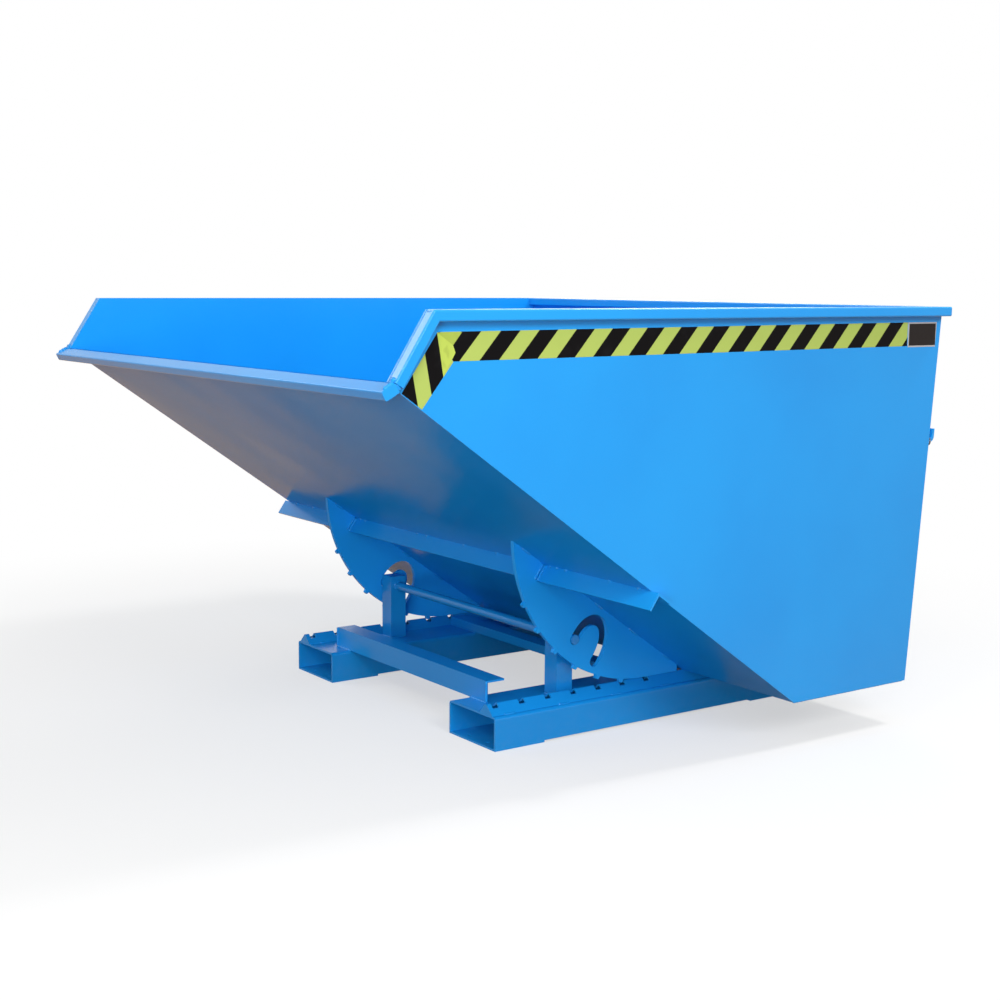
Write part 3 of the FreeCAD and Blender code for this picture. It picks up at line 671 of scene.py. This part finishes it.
@dataclass
class FilmSheet:
    """A thin film stuck on a side panel, cut to a convex outline of stations and heights."""

    corners: Sequence[Station]
    layer: int = 0
    thickness: float = 0.0005
    overlap_share: float = 0.6
    softness_share: float = 0.45
    reach: float = 2.0

    def shape(self, side: Side) -> Shape:
        """Cut the film from a wide sheet, edge by edge, and thicken it.

        Args:
            side: Which panel it is on.

        Returns:
            The film with softened edges.
        """
        shape = bmesh.new()
        foot = side.value * (PANEL_FACE + self.layer * self.thickness * self.overlap_share)
        places = [Vector((foot, station(y), z)) for y, z in self.corners]
        middle = sum(places, Vector()) / len(places)
        lay = Matrix.Translation(middle) @ Matrix.Rotation(math.pi / 2, 4, "Y")
        bmesh.ops.create_grid(shape, x_segments=1, y_segments=1, size=self.reach, matrix=lay)
        for first, second in zip(places, places[1:] + places[:1]):
            run = (second - first).normalized()
            outward = run.cross(Vector((1.0, 0.0, 0.0)))
            if outward.dot(first - middle) < 0.0:
                outward.negate()
            everything = shape.verts[:] + shape.edges[:] + shape.faces[:]
            bmesh.ops.bisect_plane(
                shape, geom=everything, plane_co=first, plane_no=outward, clear_outer=True
            )
        made = bmesh.ops.extrude_face_region(shape, geom=shape.faces[:])
        raised = [item for item in made["geom"] if isinstance(item, bmesh.types.BMVert)]
        bmesh.ops.translate(shape, verts=raised, vec=(side.value * self.thickness, 0.0, 0.0))
        rims = [edge for edge in shape.edges if all(vert in raised for vert in edge.verts)]
        softness = self.thickness * self.softness_share
        bmesh.ops.bevel(
            shape, geom=rims, offset=softness, affect="EDGES", segments=2, profile=0.5, material=-1
        )
        bmesh.ops.recalc_face_normals(shape, faces=shape.faces)
        return shape


@dataclass
class HazardTape:
    """The striped tape under the rim, down the front edge, and the bare film at its rear end."""

    strip: Sequence[Station] = ((-0.4060, 1.0270), (-0.3700, 0.9675), (0.9925, 0.9745), (0.9930, 1.0335))
    front: Sequence[Station] = ((-0.4085, 1.0262), (-0.4920, 0.9070), (-0.4445, 0.8735), (-0.3700, 0.9665))
    fold: Sequence[Station] = ((-0.4085, 1.0262), (-0.3490, 1.0264), (-0.3710, 1.0000))
    tongue: Sequence[Station] = ((-0.4085, 1.0262), (-0.3710, 1.0000), (-0.3650, 0.9853), (-0.3940, 0.9365))
    plate_low: Station = (0.9950, 0.9715)
    plate_high: Station = (1.1020, 1.0335)
    plate_lean: float = 0.0036
    side_lean: float = 0.893
    side_edge: Station = (-0.3013, 1.0283)
    side_period: float = 0.09797
    front_lean: float = -0.190
    front_edge: Station = (-0.4656, 0.9406)
    front_period: float = 0.0723
    # A darker copy of the tape's back for the folded-over facet: painted shade
    fold_tone: Colour = (0.400, 0.490, 0.080)

    def build(self, side: Side) -> List[Piece]:
        """Stick the tape and the film on one side.

        Args:
            side: Which panel they are on.

        Returns:
            The pieces.
        """
        along = self._bands(f"tape_bands_{side.word}", self.side_edge, self.side_lean, self.side_period)
        down = self._bands(
            f"tape_front_bands_{side.word}", self.front_edge, self.front_lean, self.front_period
        )
        plain = FoldFinish(f"tape_tongue_{side.word}")
        # The fold gets the darker copy of the tape's back, which is painted shade
        shaded = FoldFinish(f"tape_fold_{side.word}", bright=self.fold_tone)
        low, high = self.plate_low, self.plate_high
        film = PlateFinish(
            f"bare_film_{side.word}", (station(low[0]), low[1]), (station(high[0]), high[1])
        )
        corners = (low, (high[0] - self.plate_lean, low[1]), high, (low[0], high[1]))
        plan = (
            ("hazard_tape", FilmSheet(self.strip), along),
            ("hazard_tape_front", FilmSheet(self.front, layer=1), down),
            ("hazard_tape_fold", FilmSheet(self.fold, layer=2), shaded),
            ("hazard_tape_tongue", FilmSheet(self.tongue, layer=2), plain),
            ("bare_film_plate", FilmSheet(corners), film),
        )
        return [
            add_piece(f"{name}_{side.word}", sheet.shape(side), finish.material(), Body.SKIP)
            for name, sheet, finish in plan
        ]

    @staticmethod
    def _bands(name: str, edge: Station, lean: float, period: float) -> TapeFinish:
        """Give a tape's bands from a point on an edge from dark to bright."""
        return TapeFinish(name, lean, period, station(edge[0]) - edge[1] * lean)


@dataclass(frozen=True)
class BeadStyle:
    """How thick a weld is, how long its ripples are and the share by which they swell."""

    radius: float = 0.0035
    ripple: float = 0.0030
    swell_share: float = 0.16


@dataclass(frozen=True)
class WeldBead:
    """A weld with ripples along a straight run, tapered at both ends."""

    start: Sequence[float]
    end: Sequence[float]
    style: BeadStyle = BeadStyle()
    sides: int = 8
    fewest: int = 4
    tip_share: float = 0.35
    dip_share: float = 0.3
    uneven_share: float = 0.5
    turns: Span = (12.9898, 4.1)

    def shape(self) -> Shape:
        """Sweep a ring along the run and swell it at each ripple.

        Returns:
            The closed bead.
        """
        first = Vector(self.start)
        run = Vector(self.end) - first
        way = run.normalized()
        steps = max(self.fewest, round(run.length / self.style.ripple))
        lay = Matrix.Translation(first) @ run.to_track_quat("Z", "Y").to_matrix().to_4x4()
        shape = bmesh.new()
        bmesh.ops.create_circle(
            shape, cap_ends=False, segments=self.sides, radius=self.style.radius, matrix=lay
        )
        ring = shape.verts[:] + shape.edges[:]
        bmesh.ops.spin(shape, geom=ring, cent=first, axis=way, dvec=run / steps, angle=0.0, steps=steps)
        bmesh.ops.holes_fill(shape, edges=[edge for edge in shape.edges if edge.is_boundary])
        for vert in shape.verts:
            along = (vert.co - first).dot(way)
            centre = first + way * along
            step = round(along / run.length * steps)
            vert.co = centre + (vert.co - centre) * self._share(step, steps)
        return shape

    def _share(self, step: int, steps: int) -> float:
        """Give the share of the radius at one ripple, a little uneven from ripple to ripple.

        Args:
            step: Which ripple.
            steps: How many there are.

        Returns:
            The share, which is small at both ends.
        """
        if step <= 0 or step >= steps:
            return self.tip_share
        swell = self.style.swell_share
        uneven = sum(math.sin(step * turn) for turn in self.turns) / len(self.turns)
        bulge = swell if step % 2 else -self.dip_share * swell
        return 1.0 + bulge + self.uneven_share * swell * uneven


@dataclass(frozen=True)
class WeldRing:
    """A weld round a bar that runs across the skip."""

    centre: Point
    reach: float
    radius: float = 0.0026
    sides: int = 8
    steps: int = 36

    def shape(self) -> Shape:
        """Spin a small ring about the bar.

        Returns:
            The closed weld.
        """
        middle = Vector(self.centre)
        lay = Matrix.Translation(middle + Vector((0.0, self.reach, 0.0)))
        shape = bmesh.new()
        bmesh.ops.create_circle(shape, cap_ends=False, segments=self.sides, radius=self.radius, matrix=lay)
        ring = shape.verts[:] + shape.edges[:]
        bmesh.ops.spin(
            shape, geom=ring, cent=middle, axis=(1.0, 0.0, 0.0), angle=math.tau, steps=self.steps,
            use_merge=True,
        )
        return shape


Weld = Union[WeldBead, WeldRing]


@dataclass
class Welds:
    """The painted welds that join the sheets, tubes, rockers, posts and tracks."""

    floor_angle: float = math.radians(35.2)
    front_angle: float = math.radians(57.2)
    lip_angle: float = math.radians(28.0)
    wall: float = 0.004
    pocket_overlap: float = 0.002
    seam: BeadStyle = BeadStyle(0.0025)
    panel_seam: BeadStyle = BeadStyle(0.0025, 0.0060)
    seam_inset: float = 0.0015
    seam_stop: float = 0.03
    hook_seam: BeadStyle = BeadStyle(0.0022)
    stitch_length: float = 0.035
    track_stitches: int = 6
    rocker_stitches: Sequence[float] = (0.06, 0.20, 0.34, 0.62)
    brace_distance: float = 0.570
    brace_leg: float = 0.045
    brace_tacks: Dict[str, Sequence[float]] = field(default_factory=lambda: {
        "right": (0.486, 0.512, 0.548, 0.715, 0.820),
        "left": (-0.820, -0.715, -0.548, -0.512, -0.486),
        "middle": (-0.430, -0.405, -0.250, -0.120, -0.070, 0.110, 0.260, 0.400),
    })
    tack: BeadStyle = BeadStyle(0.0040)
    tack_length: float = 0.012
    fillet: BeadStyle = BeadStyle(0.0036)
    fillet_proud: float = 0.0040
    fillet_twin: float = 0.0065
    lip_depth: float = 0.036
    lip_height: float = 0.022
    lip_step: float = 0.0055
    lip_inset: float = 0.002
    lip_edge: BeadStyle = BeadStyle(0.0026, 0.0048, 0.30)
    lip_end: BeadStyle = BeadStyle(0.0040, 0.0048, 0.30)
    lump: BeadStyle = BeadStyle(0.0040, 0.0052, 0.32)
    lump_inset_share: float = 1.5
    lump_lifts: Span = (0.0, 0.0035)
    wedge: BeadStyle = BeadStyle(0.0040, 0.0052, 0.25)
    wedge_turn: float = 0.26
    wedge_reach: Span = (0.004, 0.022)
    mitre: BeadStyle = BeadStyle(0.0022, 0.004, 0.2)
    mitre_drop: float = 0.0045
    mitre_sink: float = 0.0012
    groups: Dict[str, List[Weld]] = field(default_factory=dict)

    def build(self, paints: Dict[Body, Material]) -> List[Piece]:
        """Build one piece for each named group of welds.

        Args:
            paints: The finishes of the painted welds on each body.

        Returns:
            The pieces.
        """
        for side in Side:
            self._base(side)
            self._rockers(side)
            self._lip(side)
            self._seams(side)
        self._braces()
        self._fittings()
        pieces = []
        scrap = bpy.data.meshes.new("weld_scrap")
        for name, welds in self.groups.items():
            shape = bmesh.new()
            for weld in welds:
                part = weld.shape()
                part.to_mesh(scrap)
                part.free()
                shape.from_mesh(scrap)
            bmesh.ops.recalc_face_normals(shape, faces=shape.faces)
            for face in shape.faces:
                face.smooth = True
            body = Body.BASE if name.startswith(Body.BASE.value) else Body.SKIP
            pieces.append(add_piece(f"welds_{name}", shape, paints[body], body))
        bpy.data.meshes.remove(scrap)
        return pieces

    def _base(self, side: Side) -> None:
        """List the welds of one post, one track and the cross members' ends, as far back as the pocket.

        Args:
            side: Which side's pocket carries them.
        """
        sign = side.value
        low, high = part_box(f"post_{side.word}")
        foot = low[2]
        corners = [(low[0], low[1]), (high[0], low[1]), (high[0], high[1]), (low[0], high[1])]
        welds = [
            WeldBead((*first, foot), (*second, foot))
            for first, second in zip(corners, corners[1:] + corners[:1])
        ]
        shaft_low, shaft_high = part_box("guide_shaft")
        reach = (shaft_high[2] - shaft_low[2]) / 2
        middle = ((shaft_low[1] + shaft_high[1]) / 2, (shaft_low[2] + shaft_high[2]) / 2)
        welds += [WeldRing((x, *middle), reach) for x in (low[0], high[0])]
        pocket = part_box(f"fork_pocket_{side.word}")
        inner = min(abs(corner[0]) for corner in pocket) + self.pocket_overlap
        low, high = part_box("front_cross_angle")
        welds.append(WeldBead((sign * inner, low[1], low[2]), (sign * high[0], low[1], low[2])))
        welds.append(WeldBead((sign * high[0], low[1], low[2]), (sign * high[0], low[1], high[2])))
        for node in ("middle_cross_bar", "rear_cross_bar"):
            low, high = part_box(node)
            for y in (low[1], high[1]):
                welds.append(WeldBead((sign * inner, y, low[2]), (sign * high[0], y, low[2]), self.seam))
        rear = pocket[1][1] - self.seam.radius
        self.groups[f"base_{side.word}"] = [
            weld for weld in welds if isinstance(weld, WeldRing) or weld.start[1] < rear
        ]
        low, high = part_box(f"track_{side.word}")
        pitch = (high[1] - low[1]) / self.track_stitches
        stitches = []
        for x in (low[0], high[0]):
            for number in range(self.track_stitches):
                y = low[1] + self.stitch_length + number * pitch
                stitches.append(WeldBead((x, y, low[2]), (x, y + self.stitch_length, low[2]), self.seam))
        self.groups[f"base_track_{side.word}"] = stitches

    def _rockers(self, side: Side) -> None:
        """List the stitches between one rocker and the floor.

        Args:
            side: Which rocker.
        """
        low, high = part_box(f"rocker_{side.word}")
        self.groups[f"skip_rocker_{side.word}"] = [
            WeldBead(self._floor_point(x, start), self._floor_point(x, start + self.stitch_length))
            for x in (low[0], high[0])
            for start in self.rocker_stitches
        ]

    def _braces(self) -> None:
        """List the twin welds where the braces meet the rockers, and the tacks along the floor."""
        ahead, down = self._ways(-self.floor_angle)
        tack = Vector((self.tack_length, 0.0, 0.0))
        for name, places in self.brace_tacks.items():
            roots = [self._floor_point(x, self.brace_distance) for x in places]
            welds = [WeldBead(root, root + tack, self.tack) for root in roots]
            low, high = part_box(f"floor_brace_{name}")
            # The outer ends of the side braces are free
            ends = ((low[0], 1, "left"), (high[0], -1, "right"))
            for x, inward in (end[:2] for end in ends if end[2] != name):
                root = self._floor_point(x, self.brace_distance)
                for across, out in ((0.0, self.fillet_proud), (inward * self.fillet_twin, 0.0)):
                    first = root + ahead * out + Vector((across, 0.0, 0.0))
                    welds.append(WeldBead(first, first + down * self.brace_leg, self.fillet))
            self.groups[f"skip_brace_{name}"] = welds

    def _lip(self, side: Side) -> None:
        """List the lumpy welds where one front rim meets the lip and the side rim.

        Args:
            side: Which side's rims.
        """
        sign = side.value
        low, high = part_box(f"front_rim_{side.word}")
        inner, outer = sorted((abs(low[0]), abs(high[0])))
        outer -= self.lump_inset_share * self.lump.radius
        inner += self.lump.radius
        floor_low, floor_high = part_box("floor_plate")
        corner = Vector((0.0, floor_low[1], floor_high[2]))
        top_way, front_way = self._ways(self.lip_angle)
        depth, height, step = self.lip_depth, self.lip_height, self.lip_step
        edge = depth - self.lip_inset
        rows = (
            ((0.0, 0.0), (depth - 2 * self.lump.radius, 0.0), self.lip_end),
            ((edge, step), (edge, height - step), self.lip_edge),
            ((step, height), (depth - step, height), self.lip_edge),
        )
        start = corner + Vector((sign * outer, 0.0, 0.0))
        welds = [
            WeldBead(*(start + top_way * ahead + front_way * down for ahead, down in ends), style)
            for *ends, style in rows
        ]
        way = self._ways(self.lip_angle + self.wedge_turn)[1]
        welds.append(WeldBead(*(start + way * reach for reach in self.wedge_reach), self.wedge))
        for lift in self.lump_lifts:
            place = corner + Vector((0.0, 0.0, lift)) - top_way * lift
            welds.append(WeldBead(*self._across(sign, inner, outer, place), self.lump))
        bend = Vector((0.0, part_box(f"side_rim_{side.word}")[0][1], high[2]))
        down, inward = self._ways(self.front_angle)
        place = bend + down * self.mitre_drop + inward * self.mitre_sink
        welds.append(WeldBead(*self._across(sign, inner, outer, place), self.mitre))
        self.groups[f"skip_lip_{side.word}"] = welds

    @staticmethod
    def _ways(angle: float) -> Tuple[Vector, Vector]:
        """Give the way ahead down a slope, and the way down that is square to it."""
        ahead = Vector((0.0, -math.cos(angle), -math.sin(angle)))
        return ahead, Vector((0.0, math.sin(angle), -math.cos(angle)))

    @staticmethod
    def _across(sign: int, inner: float, outer: float, place: Vector) -> Tuple[Point, Point]:
        """Give both ends of a run across a rim on one side."""
        return (sign * inner, place.y, place.z), (sign * outer, place.y, place.z)

    def _seams(self, side: Side) -> None:
        """List the long seams between one side panel and the sheets it closes.

        Args:
            side: Which panel.
        """
        low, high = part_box(f"side_panel_{side.word}")
        x = (low[0] if side is Side.RIGHT else high[0]) - side.value * self.seam_inset
        floor_low, floor_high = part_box("floor_plate")
        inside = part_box("bottom_plate")[1][2]
        back_low, back_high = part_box("back_wall")
        fold = (floor_high[1], floor_low[2])
        lip = (floor_low[1], floor_high[2])
        rear = (back_low[1] + self.wall, back_low[2])
        runs = (
            (fold, rear),
            (rear, self._back_point(back_high[2] - self.seam_stop)),
            ((fold[0], inside), (back_low[1], inside)),
            ((back_low[1], inside), (back_high[1] - self.wall, back_high[2])),
            ((fold[0], fold[1] + self.wall), lip),
        )
        self.groups[f"skip_seams_{side.word}"] = [
            WeldBead((x, *first), (x, *last), self.panel_seam) for first, last in runs
        ]

    def _fittings(self) -> None:
        """List the welds of the latch's bracket and the cord's hook on the back wall."""
        low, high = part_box("latch_bracket")
        foot = self._back_point(low[2])
        top = self._back_point(high[2])
        welds = [WeldBead((x, *foot), (x, *top)) for x in (low[0], high[0])]
        low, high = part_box("cord_hook")
        for z in (low[2], low[2] + (high[0] - low[0])):
            place = self._back_point(z)
            welds.append(WeldBead((low[0], *place), (high[0], *place), self.hook_seam))
        self.groups["skip_fittings"] = welds

    def _floor_point(self, x: float, along: float) -> Vector:
        """Give the place on the floor's underside at a distance along it from the fold."""
        (_, _, z), (_, y, _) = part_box("floor_plate")
        return Vector((x, y, z)) + self._ways(-self.floor_angle)[0] * along

    def _back_point(self, z: float) -> Station:
        """Find a place on the back wall's outer face.

        Args:
            z: Its height.

        Returns:
            Its y and z.
        """
        panel_low, panel_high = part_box("side_panel_right")
        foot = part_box("back_wall")[0][1] + self.wall
        rise = (z - panel_low[2]) / (panel_high[2] - panel_low[2])
        return (foot + (panel_high[1] - foot) * rise, z)


@dataclass
class ReleaseCord:
    """The thin cord from the latch's eye to its ring on the back wall."""

    diameter: float = 0.006
    route: Sequence[Point] = (
        (-5.3, 1102.1, 211.7), (46, 1102.1, 211.7), (112, 1102.1, 215.1), (178, 1102.0, 225.3),
        (244, 1101.8, 242.3), (308, 1101.6, 265.3), (370, 1101.3, 293.7), (430, 1101.0, 326.9),
        (487, 1100.6, 363.6), (541, 1100.2, 403.1), (592, 1099.8, 444.6), (641, 1099.4, 488.3),
        (687, 1099.0, 532.7), (731, 1098.6, 578.3), (773, 1098.1, 624.6), (813, 1097.7, 671.3),
        (851.6, 1097.2, 718.9),
    )
    free_reach: float = 0.205
    free_rise: float = 0.008
    line_steps: int = 10
    round_steps: int = 4
    knot_radius: float = 0.0045
    knot_back: float = 0.0076
    knot_depth: float = 0.0032
    knot_swell_share: float = 0.42
    knot_strand_share: float = 0.36
    knot_lobes: int = 3
    knot_turns: int = 2
    knot_steps: int = 30

    def build(self, finish: Material) -> Piece:
        """Args:
            finish: The braided finish.

        Returns:
            The cord.
        """
        points = [(x / PER_METRE, station(y / PER_METRE), z / PER_METRE) for x, y, z in self.route]
        path = [tuple(vert.co) for vert in self._swept("release_cord_path", points, 0.0).vertices]
        mesh = self._swept("release_cord_braid", points, self.diameter / 2)
        mesh.materials.append(finish)
        cord = put_in_scene("release_cord_braid", mesh)
        eye = points[0]
        knot = self._knot(finish, eye)
        eye[0] + self.free_reach
        eye[2] + self.free_rise
        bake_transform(cord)
        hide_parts("release_cord")
        return cord

    def _knot(self, finish: Material, start: Point) -> Piece:
        """Wind the stopper knot beside the latch's eye.

        Args:
            finish: The braided finish.
            start: Where the cord leaves the knot.

        Returns:
            The knot.
        """
        points = []
        for step in range(self.knot_steps):
            angle = math.tau * step / self.knot_steps
            reach = self.knot_radius * (1.0 + self.knot_swell_share * math.cos(self.knot_lobes * angle))
            points.append((
                start[0] - self.knot_back + self.knot_depth * math.sin(self.knot_lobes * angle),
                start[1] + reach * math.cos(self.knot_turns * angle),
                start[2] + reach * math.sin(self.knot_turns * angle),
            ))
        mesh = self._swept("cord_knot_wound", points, self.diameter * self.knot_strand_share, closed=True)
        mesh.materials.append(finish)
        knot = put_in_scene("cord_knot_wound", mesh)
        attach(knot, Body.LATCH.value)
        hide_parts("cord_knot")
        return knot

    def _swept(
        self, name: str, points: Sequence[Point], depth: float, closed: bool = False
    ) -> bpy.types.Mesh:
        """Sweep a round section along a NURBS line.

        Args:
            name: The mesh's name.
            points: The line's control points.
            depth: The section's radius, or zero for the bare line.
            closed: True for a closed loop.

        Returns:
            The smooth mesh, with no finish.
        """
        curve = bpy.data.curves.new(f"{name}_line", "CURVE")
        curve.dimensions = "3D"
        curve.resolution_u = self.line_steps
        curve.bevel_depth = depth
        curve.bevel_resolution = self.round_steps
        curve.use_fill_caps = depth > 0.0 and not closed
        spline = curve.splines.new("NURBS")
        spline.points.add(len(points) - 1)
        for target, point in zip(spline.points, points):
            target.co = (*point, 1.0)
        spline.order_u = 3
        spline.use_endpoint_u = not closed
        spline.use_cyclic_u = closed
        line = put_in_scene(curve.name, curve)
        bpy.context.view_layer.update()
        graph = bpy.context.evaluated_depsgraph_get()
        mesh = bpy.data.meshes.new_from_object(line.evaluated_get(graph))
        mesh.name = name
        mesh.materials.clear()
        for polygon in mesh.polygons:
            polygon.use_smooth = True
        bpy.data.objects.remove(line)
        return mesh


@dataclass
class FrameDressing:
    """The finishes of the frame's own nodes."""

    special: Dict[str, Finish] = field(default_factory=lambda: {
        "latch_pin": Finish.STEEL,
        "cord_ring": Finish.STEEL,
        "floor_plate": Finish.THIN_PAINT,
        # The rockers get the brighter copy of the paint, which is painted light
        "rocker_right": Finish.ROCKER_PAINT,
        "rocker_left": Finish.ROCKER_PAINT,
    })
    base_stems: Tuple[str, ...] = (
        "fork_pocket", "pocket_strap", "track", "front_cross", "middle_cross", "rear_cross", "post",
        "guide_shaft",
    )

    def build(self, nodes: Dict[str, Piece], finishes: Dict[Finish, Material]) -> None:
        """Dress every node that stays in view.

        Args:
            nodes: The frame's nodes.
            finishes: The finished materials.
        """
        for name, node in nodes.items():
            # The base's nodes get the darker copy of the paint, which is painted shade
            plain = Finish.BASE_PAINT if name.startswith(self.base_stems) else Finish.PAINT
            kind = self.special.get(name, plain)
            node.data.materials.clear()
            node.data.materials.append(finishes[kind])
        LOG.info("dressed %d nodes", len(nodes))


@dataclass(frozen=True)
class SoftLamp:
    """One square soft lamp: where it hangs, what it faces, its edge in metres and its power in watts."""

    name: str
    place: Point
    target: Point
    size: float
    power: float

    def hang(self) -> None:
        """Add the lamp to the scene."""
        data = bpy.data.lights.new(self.name, "AREA")
        data.energy = self.power
        data.size = self.size
        lamp = put_in_scene(self.name, data)
        way = Vector(self.target) - Vector(self.place)
        turn = way.to_track_quat("-Z", "Y").to_matrix().to_4x4()
        lamp.matrix_world = Matrix.Translation(self.place) @ turn


@dataclass
class Studio:
    """Floor, lights and the camera at the photograph's viewing angle."""

    focal_pixels: float = 1584.33
    image_pixels: float = 1000.0
    sensor: float = 36.0
    clip_end: float = 100.0
    yaw: float = 0.95493
    pitch: float = 0.13728
    roll: float = -0.00713
    eye: Point = (3.53463, -2.13785, 1.12843)
    world_colour: Colour = (0.93, 0.96, 1.0)
    world_strength: float = 0.42
    floor_reach: float = 40.0
    lamps: Sequence[SoftLamp] = (
        SoftLamp("key_lamp", (5.0, -3.4, 3.1), (0.3, -0.3, 0.5), 1.8, 76.0),
        SoftLamp("side_lamp", (5.6, -0.8, 3.4), (0.3, -0.3, 0.5), 1.8, 138.0),
        SoftLamp("low_lamp", (3.4, -3.4, 0.9), (0.0, 0.0, 0.3), 1.6, 72.0),
        SoftLamp("left_lamp", (-4.1, -2.8, 3.7), (0.0, -0.3, 0.8), 2.0, 60.0),
        SoftLamp("rear_lamp", (-4.2, 4.2, 3.0), (0.0, 0.0, 0.5), 2.2, 70.0),
        SoftLamp("rim_lamp_front", (2.6, -4.2, 4.5), (0.4, -0.5, 0.8), 0.4, 22.0),
        SoftLamp("rim_lamp_back", (1.2, 2.6, 4.2), (0.6, 0.0, 1.0), 0.7, 84.0),
    )

    def build(self) -> None:
        """Set the whole stage."""
        self._camera()
        self._floor()
        self._world()
        for lamp in self.lamps:
            lamp.hang()
        bpy.context.scene.view_settings.view_transform = "Standard"

    def _camera(self) -> None:
        """Place the camera from its eye point and angles."""
        data = bpy.data.cameras.new("photo_camera")
        data.sensor_width = self.sensor
        data.lens = self.focal_pixels * self.sensor / self.image_pixels
        data.clip_end = self.clip_end
        camera = put_in_scene("photo_camera", data)
        flat = math.cos(self.pitch)
        forward = Vector((-math.sin(self.yaw) * flat, math.cos(self.yaw) * flat, -math.sin(self.pitch)))
        right = Vector((math.cos(self.yaw), math.sin(self.yaw), 0.0))
        down = forward.cross(right)
        tilted = right * math.cos(self.roll) + down * math.sin(self.roll)
        below = down * math.cos(self.roll) - right * math.sin(self.roll)
        turn = Matrix((tilted, -below, -forward)).transposed().to_4x4()
        place = Vector((self.eye[0], station(self.eye[1]), self.eye[2]))
        camera.matrix_world = Matrix.Translation(place) @ turn
        bpy.context.scene.camera = camera

    def _floor(self) -> None:
        """Lay a wide pale floor."""
        shape = bmesh.new()
        bmesh.ops.create_grid(shape, x_segments=1, y_segments=1, size=self.floor_reach)
        add_piece("studio_floor", shape, FloorFinish("pale_floor").material())

    def _world(self) -> None:
        """Light the scene evenly, and show white where nothing stands."""
        world = bpy.data.worlds.new("studio_world")
        bpy.context.scene.world = world
        graph = Graph(world)
        soft = graph.light("ShaderNodeBackground", self.world_colour, self.world_strength)
        white = graph.light("ShaderNodeBackground", WHITE)
        sky = graph.shared(graph.watched(), soft, white)
        graph.node("ShaderNodeOutputWorld", sockets={"Surface": sky})


def main() -> None:
    """Load the frame, dress it, add the scene's own pieces and set the stage."""
    logging.basicConfig(level=logging.INFO, format="%(name)s %(message)s")
    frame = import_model()
    # Darker tones of the paint for the base and its welds: painted shade under the skip
    base_painted_shade_tones = {"colour": (0.009, 0.285, 0.725), "deep": (0.007, 0.258, 0.680)}
    plan = (
        PaintFinish(Finish.PAINT.value),
        PaintFinish(Finish.BASE_PAINT.value, **base_painted_shade_tones),
        PaintFinish(Finish.THIN_PAINT.value, roughness=0.16, specular=0.03, coat=0.0, waviness=0.40),
        # A brighter copy of the paint for the rockers, which is painted light
        PaintFinish(
            Finish.ROCKER_PAINT.value, colour=(0.016, 0.395, 0.960), deep=(0.013, 0.355, 0.900),
            roughness=0.22, specular=0.09, coat=0.0, waviness=0.30,
        ),
        SteelFinish(Finish.STEEL.value),
    )
    finishes = {Finish(finish.name): finish.material() for finish in plan}
    weld_paints = {
        Body.BASE: PaintFinish("base_weld_paint", waviness=0.0, **base_painted_shade_tones).material(),
        Body.SKIP: PaintFinish("weld_paint", waviness=0.0).material(),
    }
    FrameDressing().build(frame["nodes"], finishes)
    ReleaseCord().build(CordFinish("white_cord").material())
    tape = HazardTape()
    for side in Side:
        tape.build(side)
    Welds().build(weld_paints)
    Studio().build()


if __name__ == "__main__":
    main()
